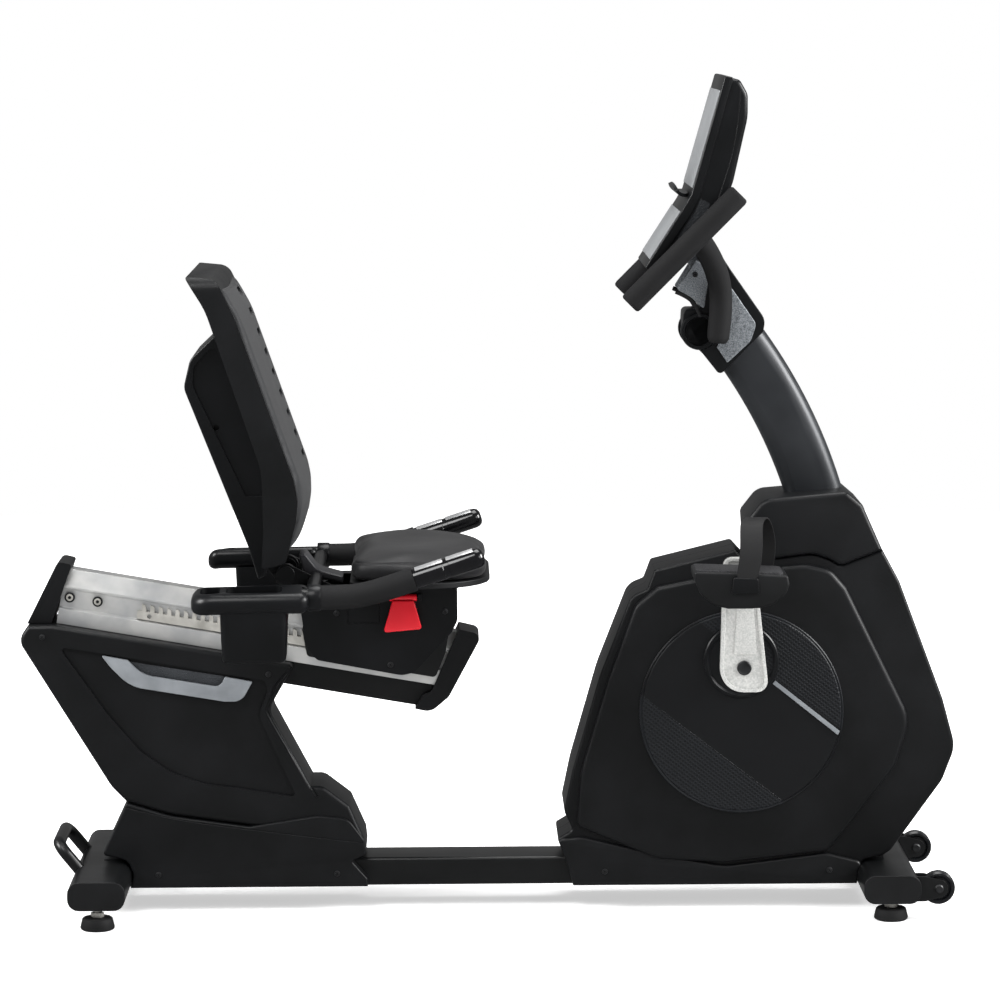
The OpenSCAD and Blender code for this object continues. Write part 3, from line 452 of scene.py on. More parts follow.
def makeColumn(v):
    column = fullWidth(v["outline"], v["half"], v["round"], 5)
    panel = sidePlates(v["panel"], -90, v["deep"] - v["half"])
    groove = bothSides(sideLine(v["groove"], -v["half"] - 0.5, 3, order=2))
    column = carved(column, panel, groove)
    finishPiece(column, "columnCover", mouldedAbs, "post_covers", bevelMm=2.5, smooth=30, segments=3)
    mesh = sidePlates(v["mesh"], -70.5, -67, (0.5, 0))
    finishPiece(mesh, "ventMesh", grilleAbs, body="frame", slot="cover_plastic")


trimValues = {
    "column": [[-678, 461, 2], [-662, 440, 40], [-628, 405, 60], [-462, 377, 20], [-432, 377, 22],
               [-412, 412, 2], [-460, 421, 2], [-470, 403, 14], [-606, 426, 50], [-631, 452, 2]],
    "neck": [[427, 968, 2], [468, 1006, 20], [478, 1036, 14], [430, 1106, 4], [424, 1026, 30],
             [408, 996, 2]]}


def makeTrims(v):
    columnTrim = sidePlates(v["column"], -76.8, -66, (1.6, 0.2), 3)
    finishPiece(columnTrim, "accentTrim", silverPaint, "accent_trims")
    neckTrim = sidePlates(v["neck"], -47, -42, (1.5, 0.2), 3)
    finishPiece(neckTrim, "neckPanel", speckledMetal, body="frame", slot="silver_plastic")


makeBase(baseValues)
makeColumn(columnValues)
makeTrims(trimValues)
print("column made")

# ---- shroud
shroudValues = {
    "outline": [[152, 44], [655, 44], [664, 84, 10], [700, 92], [716, 103, 10], [806, 228, 40],
                [829, 288, 50], [806, 374, 60], [728, 584, 40], [698, 640], [624, 612, 12], [604, 624, 20],
                [576, 634, 40], [460, 620], [440, 642, 6], [297, 607, 6], [284, 573, 8], [256, 562, 30],
                [200, 420, 200], [151, 250, 200], [136, 178, 16], [151, 144, 6], [124, 128, 6], [137, 96]],
    "raised": [[158, 152, 12], [166, 250, 120], [214, 414, 160], [262, 546, 30], [300, 578, 10],
               [436, 606, 10], [562, 617, 30], [606, 607, 30], [634, 574, 20], [748, 340, 60],
               [722, 256, 20], [604, 104, 8], [420, 84, 60], [300, 92, 20]],
    "skirt": [[124, 128, 6], [140, 92, 6], [152, 44.5], [655, 44.5], [664, 84, 10], [600, 100, 20],
              [420, 78, 80], [300, 100, 60], [170, 132, 20]],
    "collar": [[463, 620.5], [575, 634.8, 40], [604, 624.8, 20], [624, 612.8, 12], [697, 640.8],
               [662, 720, 6], [634, 744, 10], [488, 732, 28], [458, 694, 10]],
    "low": 82, "round": 20, "high": 95, "shoulder": 20, "skirtLevel": 90, "inner": 60,
    "collarHalf": 92, "collarRound": 18}


def makeShroud(v):
    shell = prism(v["outline"], "xz", -v["low"], -0.2, (v["round"], 0), 6)
    raised = prism(v["raised"], "xz", -v["high"], -v["inner"], (v["shoulder"], 0), 6)
    skirt = prism(v["skirt"], "xz", -v["skirtLevel"], -v["inner"], (5, 0), 3)
    right = merged(shell, raised, skirt)
    left = mirrored(right)
    finishPiece(right, "shroudRight", mouldedAbs, "shroud_right", smooth=28, bevelMm=1.0)
    finishPiece(left, "shroudLeft", mouldedAbs, "shroud_left", smooth=28, bevelMm=1.0)
    collar = fullWidth(v["collar"], v["collarHalf"], v["collarRound"], 6)
    finishPiece(collar, "shroudCollar", mouldedAbs, "shroud_collar", smooth=30)


# round side cover with two dotted fields and a plain band between them
discValues = {
    "centre": (449, 0, 356), "slope": -37.5, "band": 82, "dotMm": 6.0,
    "profile": [(0, -90), (180, -90), (180, -98), (178.5, -99.5), (176, -98.6), (174, -101), (60, -103.6),
                (0, -103.6)],
    "bezelCentre": (448, 0, 447),
    "bezel": [(0, -90), (66, -90), (66, -104.5), (64, -106.5), (60, -107), (57, -104), (54, -98.5),
              (34, -97.5), (31, -100), (0, -100)],
    "stripe": [[508, 412], [622, 321], [618.5, 314.5], [503.5, 406.5]]}


def dottedPlastic(v):
    # dotted ABS, moulded: rows of raised dots, left out of the band through the middle
    values = {"Roughness": 0.42, "Specular IOR Level": 0.26}
    m, tree, shader, where = blankMaterial("dottedAbs", values)
    centred = addNode(tree, "ShaderNodeMapping", {"Location": [-c / 1000 for c in v["centre"]]},
                      {"Vector": (where, "Object")})
    along = addNode(tree, "ShaderNodeMapping", {"Rotation": (0, math.radians(v["slope"]), 0)},
                    {"Vector": (centred, 0)})
    parts = addNode(tree, "ShaderNodeSeparateXYZ", None, {0: (along, 0)})
    away = addNode(tree, "ShaderNodeMath", None, {0: (parts, "Z")}, operation="ABSOLUTE")
    field = addNode(tree, "ShaderNodeMath", {1: v["band"] / 1000}, {0: (away, 0)}, operation="GREATER_THAN")
    dots = addNode(tree, "ShaderNodeTexVoronoi", {"Scale": 1000 / v["dotMm"], "Randomness": 0.0},
                   {"Vector": (along, 0)}, feature="F1")
    dimple = addNode(tree, "ShaderNodeMapRange", {"From Min": 0.25, "From Max": 0.45}, {"Value": (dots, 0)})
    height = addNode(tree, "ShaderNodeMath", None, {0: (dimple, 0), 1: (field, 0)}, operation="MULTIPLY")
    lift = addNode(tree, "ShaderNodeBump", {"Strength": 0.6, "Distance": 0.0008}, {"Height": (height, 0)})
    tree.links.new(lift.outputs[0], shader.inputs["Normal"])
    # painted shade: the colour follows the bump's height, darker down in each dot; the plain band takes the
    # same dark colour
    shade = addNode(tree, "ShaderNodeMix", None, None, data_type="RGBA")
    shade.inputs["A"].default_value = linear("#0d0e10")
    shade.inputs["B"].default_value = linear("#15171a")
    tree.links.new(height.outputs[0], shade.inputs["Factor"])
    tree.links.new(shade.outputs["Result"], shader.inputs["Base Color"])
    return m


def makeDiscs(v):
    discs = bothSides(turned(v["profile"], v["centre"], 128))
    finishPiece(discs, "sideDisc", dottedPlastic(v), "disc_covers", smooth=40)
    bezels = bothSides(turned(v["bezel"], v["bezelCentre"], 96))
    finishPiece(bezels, "crankBezel", smoothAbs, body="frame", slot="disc_plastic")
    stripes = sidePlates(v["stripe"], -104.2, -101, (0.2, 0))
    finishPiece(stripes, "discStripe", silverPaint, body="frame", slot="disc_plastic")


makeShroud(shroudValues)
makeDiscs(discValues)
print("shroud made")

# ---- cranks and pedals
crankValues = {
    "rightArm": [[405, 404, 42], [491, 404, 42], [466, 640, 27], [412, 640, 27]],
    "leftArm": [[405, 490, 42], [491, 490, 42], [484, 254, 27], [430, 254, 27]],
    "rightRib": [[430, 470, 3], [470, 470, 3], [462, 590, 3], [438, 590, 3]],
    "leftRib": [[430, 424, 3], [470, 424, 3], [466, 304, 3], [442, 304, 3]],
    "bolt": [(0, -184), (9, -184), (11, -185), (12.5, -184), (12.5, -160), (0, -160)],
    "axis": (448, 0, 447), "low": 163, "high": 181, "rim": 4.5, "pocket": 2.6}


def crankArm(outline, sign, v):
    # a flat arm with a shallow pocket in its outer face
    arm = prism(outline, "xz", *sorted((sign * v["low"], sign * v["high"])), (1.2, 1.2), 3)
    outer = max((f for f in arm.faces if f.normal.y * sign > 0.9), key=lambda f: f.calc_area())
    bmesh.ops.inset_region(arm, faces=[outer], thickness=v["rim"] / 1000, use_even_offset=True)
    bmesh.ops.inset_region(arm, faces=[outer], thickness=0.001, depth=-v["pocket"] / 1000,
                           use_even_offset=True)
    return arm


def makeCranks(v):
    arms = merged(crankArm(v["rightArm"], -1, v), crankArm(v["leftArm"], 1, v))
    finishPiece(arms, "crankArm", castAluminium, "crank_arms", smooth=30, bevelMm=0.6)
    bolts = bothSides(turned(v["bolt"], v["axis"], 32))
    finishPiece(bolts, "crankBolt", blackOxide, body="crank", slot="crank_aluminium")
    ribs = merged(prism(v["rightRib"], "xz", -180.4, -178, (0.8, 0)),
                  prism(v["leftRib"], "xz", 178, 180.4, (0, 0.8)))
    finishPiece(ribs, "crankRib", castAluminium, body="crank", slot="crank_aluminium")


pedalValues = {
    "right": (439.4, 611.8, -1), "left": (456.6, 282.2, 1), "near": 194, "middle": 245, "far": 296,
    "body": [[-84, 3, 5], [-74, -20, 18], [-48, -40, 18], [-30, -44, 8], [28, -44, 8], [50, -38, 16],
             [72, -20, 18], [78, -4, 6], [75, 12, 4], [0, 17], [-86, 20, 5]],
    "keel": [[-34, -30, 8], [-30, -46, 6], [20, -46, 6], [24, -30, 8]],
    "tread": [[-82, -46, 10], [68, -46, 10], [68, 46, 10], [-82, 46, 10]], "treadSlope": 0.036,
    "strap": [[-56, 0], [-54, 30], [-50, 62], [-34, 98], [0, 108], [34, 100], [50, 64], [54, 30], [56, 0]],
    "strapLean": -0.30, "buckle": [[-22, -18, 3], [26, -18, 3], [24, 8, 3], [-18, 10, 3]]}


def shifted(points, a, b):
    return [[p[0] + a, p[1] + b, *p[2:]] for p in points]


def makePedal(side, v):
    # side is right or left; x, z is the pedal's own axis
    x, z, sign = v[side]
    low, high = sorted((sign * v["near"], sign * v["far"]))
    bore = turned([(0, sign * 180), (11, sign * 180), (11, sign * 198), (0, sign * 198)], (x, 0, z), 24)
    body = carved(prism(shifted(v["body"], x, z), "xz", low, high, (6, 6), 4), bore)
    keel = prism(shifted(v["keel"], x, z), "xz", low + 10, high - 10, (3, 3), 3)
    tread = prism(shifted(v["tread"], x, sign * v["middle"]), "xy", z + 13, z + 19, (0, 1.5), 2)
    for w in tread.verts:
        w.co.z += (x / 1000 - w.co.x) * v["treadSlope"]
    strap = ribbon(shifted(v["strap"], sign * v["middle"], z), "yz", x - 12, x + 26, 2.6)
    for w in strap.verts:
        w.co.x += (abs(w.co.y) - 0.298) * v["strapLean"] + 0.004 * math.sin(w.co.z * 40)
    buckle = prism(shifted(v["buckle"], x, z), "xz", *sorted((sign * v["far"], sign * (v["far"] + 7))),
                   (2, 2), 3)
    name, ride = side.capitalize(), {"body": "pedal_" + side[0], "slot": "pedal_plastic"}
    finishPiece(merged(body, keel), "pedal" + name, mattePolypropylene, "pedal_" + side, smooth=30)
    finishPiece(tread, "pedalTread" + name, gritPolypropylene, **ride)
    finishPiece(strap, "toeStrap" + name, mouldedRubber, **ride)
    finishPiece(buckle, "strapBuckle" + name, smoothAbs, **ride)


makeCranks(crankValues)
makePedal("right", pedalValues)
makePedal("left", pedalValues)
print("cranks made")

# ---- console
consoleValues = {
    "front": [[278, 1142, 3], [292, 1131, 3], [361, 1237], [373, 1262], [431, 1469, 3], [416, 1471.5, 4],
              [358, 1268], [347, 1249]],
    "back": [[286, 1138], [300, 1126, 8], [334, 1156, 30], [398, 1216, 30], [430, 1285, 80],
             [456, 1400, 80], [456, 1440, 20], [442, 1465, 10], [424, 1468], [364, 1264], [352, 1243]],
    "knee": [[308, 1156, 4], [364, 1238, 2], [374, 1262, 2], [392, 1252, 4], [366, 1206, 20],
             [326, 1160, 8]],
    "seam": [[444, 1470], [442, 1400], [420, 1300], [390, 1222]],
    "ledge": [[358, 1266], [348, 1264], [337, 1268], [331, 1283]],
    "edgeLine": [[447, -131, 1396, 0.1], [443, -133, 1360], [430, -134, 1306], [408, -134, 1256],
                 [396, -132, 1232, 0.1]],
    "upperFilm": [[361, 1279, 0.3], [409, 1446, 0.3], [407.6, 1446.4, 0.3], [359.6, 1279.4, 0.3]],
    "lowerFilm": [[287, 1156, 0.3], [340, 1238, 0.3], [338.8, 1238.8, 0.3], [285.8, 1156.8, 0.3]],
    "backHalf": 138, "frontHalf": 140, "filmHalf": 134, "ledgeHalf": 100}


def makeConsole(v):
    cover = {"body": "frame", "slot": "cover_plastic"}
    backShell = carved(fullWidth(v["back"], v["backHalf"], 12, 5),
                       bothSides(sideLine(v["seam"], -v["backHalf"] - 0.6, 1.0)),
                       sidePlates(v["knee"], -150, -135.5))
    finishPiece(backShell, "consoleBack", smoothAbs, "console_back", smooth=30, bevelMm=0.8)
    finishPiece(sidePlates(v["knee"], -136.6, -134), "speakerGrille", grilleAbs, **cover)
    finishPiece(fullWidth(v["front"], v["frontHalf"], 5), "consoleFace", smoothAbs, "console_front",
                smooth=30)
    ledge = ribbon(v["ledge"], "xz", -v["ledgeHalf"], v["ledgeHalf"], 6)
    finishPiece(ledge, "tabletLedge", smoothAbs, **cover)
    finishPiece(bothSides(tube(v["edgeLine"], 3.2)), "consoleEdge", glossAbs, **cover)
    films = merged(*[fullWidth(v[each], v["filmHalf"], 0.4, 2) for each in ("upperFilm", "lowerFilm")])
    finishPiece(films, "faceFilm", printedFilm, "console_overlays")


# ---- neck and front handlebar
neckValues = {
    "cover": [[348, 1020, 26], [384, 984], [414, 946, 8], [490, 1022, 4], [494, 1044, 24], [434, 1130, 60],
              [400, 1182, 4], [368, 1182, 2], [390, 1110, 30], [384, 1062, 20], [350, 1062, 20]],
    "armPlate": [[338, 1098, 4], [362, 1084, 20], [386, 1062, 4], [394, 1122, 16], [384, 1142, 10],
                 [371, 1150, 3]],
    "core": [[396, 1006], [440, 1050], [404, 1120], [398, 1172], [346, 1222], [328, 1196], [372, 1120]],
    "knuckleAxis": (378, 0, 1024),
    "knuckle": [(0, -44), (24, -44), (26, -50), (31, -50), (33, -47), (33, -30), (0, -30)],
    "lead": [[336, -46, 1094], [356, -47, 1086], [372, -48, 1070], [380, -48, 1050]]}


def makeNeck(v):
    cover = {"body": "frame", "slot": "cover_plastic"}
    finishPiece(fullWidth(v["cover"], 44, 9, 5), "neckCover", smoothAbs, "neck_covers", smooth=30)
    arms = merged(sidePlates(v["armPlate"], -50, -43, (2, 0.2), 3), fullWidth(v["core"], 26, 2, 2))
    finishPiece(arms, "consoleArm", speckledMetal, "console_bracket")
    finishPiece(bothSides(turned(v["knuckle"], v["knuckleAxis"])), "neckKnuckle", smoothAbs, **cover)
    finishPiece(bothSides(tube(v["lead"], 4)), "sensorLead", mouldedRubber, smooth=50, **cover)


frontBarValues = {
    "start": (250, 1080), "across": -165, "radius": 20,
    "run": [(0, 0.8), (1.5, 0.94), (5, 1), (50, 1), (150, 1), (185, 1), (188.5, 0.94), (190, 0.8)],
    "elbow": [[366, -150, 1196], [380, -124, 1180], [402, -88, 1142], [414, -68, 1100], [414, -66, 1060],
              [410, -66, 1022], [409, -66, 1010, 0.94], [408.5, -66, 1005, 0.7]]}


def makeFrontBar(v):
    # each grip climbs at 45 degrees, its ends eased
    x, z = v["start"]
    grip = sideLine([[x + far, z + far, share] for far, share in v["run"]], v["across"], v["radius"],
                    resolution=10, bend=False)
    finishPiece(bothSides(grip), "frontGrip", foamGrip, "front_grips", smooth=50)
    elbow = tube(v["elbow"], v["radius"], 10)
    finishPiece(bothSides(elbow), "gripElbow", foamGrip, body="frame", slot="grip_foam", smooth=50)


makeConsole(consoleValues)
makeNeck(neckValues)
makeFrontBar(frontBarValues)
print("console made")


# ---- soft pads
def remeshed(bm, voxelMm):
    piece = helper(bm)
    m = piece.modifiers.new("voxels", "REMESH")
    m.mode, m.voxel_size, m.use_smooth_shade = "VOXEL", voxelMm / 1000, True
    return asMesh(piece)


def blownUp(bm, pressure):
    # the closed shape as cloth, swollen for 16 steps
    scene = bpy.context.scene
    piece = helper(bm)
    cloth = piece.modifiers.new("pad", "CLOTH")
    cloth.settings.use_pressure = True
    cloth.settings.uniform_pressure_force = pressure
    cloth.settings.effector_weights.gravity = 0
    cloth.settings.quality = 4
    cloth.collision_settings.use_collision = False
    for step in range(1, 17):
        scene.frame_set(step)
    bm = asMesh(piece)
    scene.frame_set(1)
    return bm


def inflated(bm, v, keep):
    # a soft pad: blown up, its travel capped, kept to its form, then smoothed
    bm = remeshed(bm, v["voxelMm"])
    start = [w.co.copy() for w in bm.verts]
    bm = blownUp(bm, v["pressure"])
    cap = v["capMm"] / 1000
    for w, was in zip(bm.verts, start):
        move = w.co - was
        if move.length > cap:
            w.co = was + move.normalized() * cap
    for w in bm.verts:
        w.co = keep(w.co)
    for again in range(v["rounds"]):
        bmesh.ops.smooth_vert(bm, verts=bm.verts, factor=0.5, use_axis_x=True, use_axis_y=True,
                              use_axis_z=True)
    return bm


def rectangle(a, b, radius, middle=(0, 0)):
    # corners at half sizes a and b from a middle, each rounded
    signs = ((-1, -1), (1, -1), (1, 1), (-1, 1))
    return [[middle[0] + a * i, middle[1] + b * j, radius] for i, j in signs]


# ---- backrest
backValues = {
    "shell": [[-388, 629, 6], [-346, 640, 8], [-318, 748, 120], [-428, 1062, 120], [-460, 1130, 24],
              [-516, 1136, 4], [-480, 1078, 120], [-386, 800, 120], [-384, 690, 60]],
    "shellPlan": [[-214, 600, 30], [214, 600, 30], [214, 1137, 26], [-214, 1137, 26]],
    "pad": [[-360, 656, 4], [-346, 658, 8], [-318, 748, 120], [-428, 1062, 120], [-456, 1112, 12],
            [-472, 1116, 4], [-440, 1062, 80], [-334, 748, 60]],
    "padPlan": [[-200, 648, 30], [200, 648, 30], [200, 1122, 26], [-200, 1122, 26]],
    "rear": [[-398, 599, 4], [-386, 606], [-360, 700], [-360, 790], [-466, 1030], [-512, 986, 22],
             [-524, 936, 26], [-414, 655, 80]],
    "rearPanel": [[-470, 1012, 10], [-506, 974, 20], [-508, 940, 20], [-418, 746, 6], [-376, 746, 6],
                  [-374, 790]],
    "rearHole": (-468, 0, 866), "pivot": (-352, 0, 600),
    "boss": [(0, -60), (14, -60), (16, -58), (16, -40), (0, -40)],
    "slots": 9, "topSlot": 1097, "slotStep": 36, "slotWide": 62, "slotTall": 13,
    "lumbar": 748, "shoulder": 1060, "leanBack": 0.349, "curl": 0.35,
    "voxelMm": 5.0, "capMm": 6, "pressure": 3.0, "rounds": 3}


def crowned(co):
    # the front swells from side to side
    return Vector((co.x + 0.012 * (1 - (co.y / 0.2) ** 2), co.y, co.z))


def slotCutter(z, v):
    # one pressed slot, following the front as it leans and curls back
    lean = (z - v["lumbar"]) * v["leanBack"]
    curl = max(0, z - v["shoulder"]) * v["curl"]
    outline = rectangle(v["slotWide"] / 2, v["slotTall"] / 2, 6, (0, z))
    return prism(outline, "yz", -330 - lean - curl, -280 - lean)


def makeBackrest(v):
    pad = carved(fullWidth(v["pad"], 206), prism(v["padPlan"], "yz", -600, -200), how="INTERSECT")
    pad = inflated(pad, v, crowned)
    heights = [v["topSlot"] - i * v["slotStep"] for i in range(v["slots"])]
    pad = carved(pad, merged(*[slotCutter(z, v) for z in heights]))
    pad = finishPiece(pad, "backrestPad", skinFoam, "backrest_cushion", smooth=50)
    shell = carved(fullWidth(v["shell"], 214), prism(v["shellPlan"], "yz", -600, -200), how="INTERSECT")
    finishPiece(shell, "backrestShell", mouldedAbs, "backrest_shell", smooth=30, bevelMm=3, segments=3)
    hole = turned([(0, -125), (5, -125), (5, -100), (0, -100)], v["rearHole"], 20)
    rear = carved(fullWidth(v["rear"], 118, 16, 6), sidePlates(v["rearPanel"], -130, -113.5),
                  bothSides(hole))
    finishPiece(rear, "backrestHousing", smoothAbs, "backrest_rear_cover", smooth=30, bevelMm=2.5,
                segments=3)
    bosses = bothSides(turned(v["boss"], v["pivot"], 32))
    finishPiece(bosses, "pivotBoss", smoothAbs, body="backrest", slot="cover_plastic")


makeBackrest(backValues)
print("backrest made")

# ---- seat
seatValues = {
    "outline": [[-236, -207, 45], [4, -207, 125], [4, 207, 125], [-236, 207, 45]],
    "low": 606, "high": 640, "voxelMm": 5.0, "capMm": 20, "pressure": 2.5, "rounds": 10}


def dished(co):
    # flat on its pan, lower in the middle, kept inside its own outline
    z = max(co.z, 0.6032)
    if z > 0.63:
        z -= 0.006 * math.exp(-((co.x + 0.13) / 0.08) ** 2) * math.exp(-(abs(co.y) / 0.12) ** 4)
    return Vector((max(-0.243, min(0.0128, co.x)), max(-0.2148, min(0.2148, co.y)), min(z, 0.6545)))


def makeSeat(v):
    seat = inflated(prism(v["outline"], "xy", v["low"], v["high"], (4, 12), 4), v, dished)
    seat = finishPiece(seat, "seatPad", seamedVinyl, "seat_cushion", smooth=60)


makeSeat(seatValues)
print("seat made")

# ---- screws
screwValues = {
    "cover": [(-582, -80, 68), (-266, -80, 68), (-781, -75, 494), (-384, -75, 425), (208, -90, 70),
              (606, -90, 70), (370, -50, 1124)],
    "rail": [(-734, -45, 560), (-685, -45, 552), (-90, -45, 446)],
    "carriage": [(-262, -110, 538), (-72, -110, 540), (-168, -110, 446)],
    "radius": 5.2, "railRadius": 6.4,
    # the washer's middle boss, 0.9 mm proud within 2.9 mm, fills each screw's socket floor: painted shade in
    # the socket
    "washerAndSocketShade": [(0, -0.9), (2.9, -0.9), (2.9, -0.25), (8.8, -0.25), (9.2, 0.2), (9.2, 4), (0, 4)],
    "axle": (788, 0, 57), "outerCap": [(0, -203), (6, -203), (8, -201), (8, -196), (0, -196)],
    "innerCap": [(0, -168), (8, -168), (8, -163), (6, -161), (0, -161)]}


def screwHeads(places, r):
    # domed heads with a socket, facing the rider's right
    profile = [(0, -0.4), (r * 0.45, -0.4), (r * 0.5, -1.8), (r * 0.9, -1.2), (r, 0), (r, 6), (0, 6)]
    return merged(*[turned(profile, place, 20) for place in places])


def makeScrews(v):
    onFrame = {"body": "frame", "slot": "screw_steel", "smooth": 30}
    finishPiece(screwHeads(v["cover"], v["radius"]), "coverScrew", blackOxide, "frame_screws", smooth=30)
    finishPiece(bothSides(screwHeads(v["rail"], v["railRadius"])), "railScrew", zincPlate, **onFrame)
    # each black oxide washer rings its rail screw, and the boss in its middle blackens the screw's socket:
    # painted shade in the socket
    washersAndSocketShade = merged(*[turned(v["washerAndSocketShade"], place, 24) for place in v["rail"]])
    finishPiece(bothSides(washersAndSocketShade), "railWasherAndSocketShade", blackOxide, **onFrame)
    finishPiece(screwHeads(v["carriage"], v["radius"]), "carriageScrew", blackOxide, body="carriage",
                slot="screw_steel", smooth=30)
    caps = merged(turned(v["outerCap"], v["axle"], 24), turned(v["innerCap"], v["axle"], 24))
    finishPiece(bothSides(caps), "axleCap", blackOxide, **onFrame)


makeScrews(screwValues)

# ---- carriage: the cover's hatch, storage pods and pivot cover
carriageValues = {
    "hatch": rectangle(27.5, 24.5, 1, (-214, 545)),
    "pivotCover": [[-322, 598, 4], [-252, 581], [-252, 593], [-296, 605, 30], [-318, 634, 6],
                   [-330, 632, 4]],
    "rim": [[-506, -325, 38], [-304, -325, 16], [-304, -246, 16], [-506, -246, 38]],
    "bowl": [[-490, -308, 22], [-456, -308, 6], [-456, -262, 6], [-490, -262, 22]],
    "box": rectangle(58, 35, 12, (-398, -285)), "well": (48, 24), "middle": (-398, -285), "handleLine": 590,
    "rimLow": 570, "rimHigh": 606, "boxLow": 482, "boxHigh": 573, "draft": 0.06}


def podRim(v):
    rim = prism(v["rim"], "xy", v["rimLow"], v["rimHigh"], (16.5, 14.5), 7)
    for w in rim.verts:  # the rim dips on its outer side and at its round end
        w.co.z += (w.co.y + 0.285) * 0.13 - 0.008 * max(0, (-0.440 - w.co.x) / 0.066) ** 2
    z = v["handleLine"]
    return carved(rim, prism(rectangle(*v["well"], 14, v["middle"]), "xy", 560, 640),
                  prism(v["bowl"], "xy", 580, 640), tube([[-316, -285, z], [-290, -285, z]], 21.2),
                  tube([[-300, -270, z], [-300, -230, z]], 12.3))


def podBox(v):
    box = prism(v["box"], "xy", v["boxLow"], v["boxHigh"], (8, 0), 4)
    x, y = [c / 1000 for c in v["middle"]]
    for w in box.verts:  # sides draw in towards the foot
        share = v["draft"] * (v["boxHigh"] / 1000 - w.co.z) / ((v["boxHigh"] - v["boxLow"]) / 1000)
        w.co.x += (x - w.co.x) * share
        w.co.y += (y - w.co.y) * share
    return carved(box, prism(rectangle(*v["well"], 10, v["middle"]), "xy", 488, 600))


def makeCarriage(v):
    hatches = sidePlates(v["hatch"], -109.8, -106.5, (0.5, 0.2), 2)
    finishPiece(hatches, "coverHatch", smoothAbs, body="carriage", slot="cover_plastic")
    right = merged(podRim(v), podBox(v))
    left = mirrored(right)
    for name, pod in (("Left", left), ("Right", right)):
        finishPiece(pod, "storagePod" + name, smoothAbs, "storage_pod_" + name.lower(), smooth=30,
                    bevelMm=2.2, segments=3)
    finishPiece(fullWidth(v["pivotCover"], 36, 7), "pivotCover", charcoalAbs, "bracket_cover")


makeCarriage(carriageValues)

# ---- side handles
handleValues = {
    "across": -285, "tip": (-0.012, -0.285, 0.658), "climb": math.atan2(52, 158),
    "sleeve": [[-303, 590], [-262, 590], [-232, 591], [-196, 598], [-160, 609], [-124, 621]],
    "collar": [[-306, 590, 0.96], [-304, 590], [-286, 590], [-284, 590, 0.96]],
    "grip": [(0, 8), (9, 7.4), (14, 4.5), (17, -0.5), (18, -7), (18, -54), (17.4, -54.6), (17.4, -64.4),
             (18, -65), (18, -117), (17, -118), (0, -118)],
    "plates": [(-8, -56), (-63, -112)], "plateRadius": 19, "plateLow": 0.0143}


def onGrip(bm, v):
    # from the x axis to the grip's own axis, its tip at the origin
    bmesh.ops.rotate(bm, verts=bm.verts, cent=(0, 0, 0), matrix=Matrix.Rotation(-v["climb"], 3, "Y"))
    bmesh.ops.translate(bm, verts=bm.verts, vec=v["tip"])
    return bm


def pulsePlate(start, end, v):
    # a thin bright shell over the top of the grip
    r = v["plateRadius"]
    profile = [(r - 0.9, start), (r - 0.3, start), (r, start - 1), (r, end + 1), (r - 0.3, end),
               (r - 0.9, end), (r - 0.9, start)]
    bm = turned(profile, (0, 0, 0), 48, "x")
    bmesh.ops.bisect_plane(bm, geom=list(bm.verts) + list(bm.edges) + list(bm.faces),
                           plane_co=(0, 0, v["plateLow"]), plane_no=(0, 0, 1), clear_inner=True)
    bmesh.ops.holes_fill(bm, edges=bm.edges, sides=0)
    return onGrip(bm, v)


def makeHandles(v):
    sleeve = sideLine(v["sleeve"], v["across"], 21, resolution=10)
    finishPiece(bothSides(sleeve), "handleSleeve", foamGrip, body="carriage", slot="grip_foam", smooth=50,
                bevelMm=1.5)
    collar = sideLine(v["collar"], v["across"], 23, resolution=10, bend=False)
    finishPiece(bothSides(collar), "sleeveCollar", smoothAbs, body="carriage", slot="cover_plastic",
                smooth=50)
    plates = merged(*[pulsePlate(start, end, v) for start, end in v["plates"]])
    finishPiece(bothSides(plates), "pulsePlate", stainless, "pulse_plates", smooth=40)
    grip = onGrip(turned(v["grip"], (0, 0, 0), 40, "x"), v)
    finishPiece(bothSides(grip), "sideGrip", glossAbs, "side_grips", smooth=40)


makeHandles(handleValues)
print("handles made")

# ---- lever, feet and wheels
leverValues = {
    "blade": [[-180, 505, 5], [-112, 511, 5], [-126, 562, 4], [-164, 562, 4]],
    "barrel": [(0, -24), (5.5, -24), (6.5, -23), (6.5, 23), (5.5, 24), (0, 24)], "pin": (-145, -118, 566)}


def makeLever(v):
    blade = prism(v["blade"], "xz", -127, -120.5, (2.5, 1), 3)
    lever = merged(blade, turned(v["barrel"], v["pin"], 24, "x"))
    finishPiece(lever, "releaseLever", redPaint, "release_lever")


footValues = {
    "nodes": ("foot_rear_right", "foot_rear_left", "foot_front_right", "foot_front_left"),
    "pad": [(0, 0.2), (26, 0.2), (29, 2), (30, 5), (26.5, 20), (24, 22), (0, 22)],
    "nut": [(0, 22.2), (11, 22.2), (11.6, 24), (11.6, 29), (11, 30.5), (0, 30.5)]}


def makeFoot(node, v):
    low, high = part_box(node)
    at = ((low[0] + high[0]) * 500, (low[1] + high[1]) * 500, 0)
    top = high[2] * 1000 - 0.5
    name = "".join(word.capitalize() for word in node.split("_")[1:])
    finishPiece(turned(v["pad"], at, 48, "z"), "footPad" + name, mouldedRubber, node)
    stud = turned([(0, 18), (5, 18), (5, top), (0, top)], at, 20, "z")
    nut = turned(v["nut"], at, 6, "z")
    finishPiece(merged(stud, nut), "footStud" + name, zincPlate, body=bodyOf[node], slot="zinc_steel")


rollerValues = {
    "nodes": ("wheel_right", "wheel_left"),
    "profile": [(5, -12), (9, -12), (11, -9), (19, -8), (22, -11.5), (26, -12), (29, -8), (29, 8), (26, 12),
                (22, 11.5), (19, 8), (11, 9), (9, 12), (5, 12), (5, -12)]}


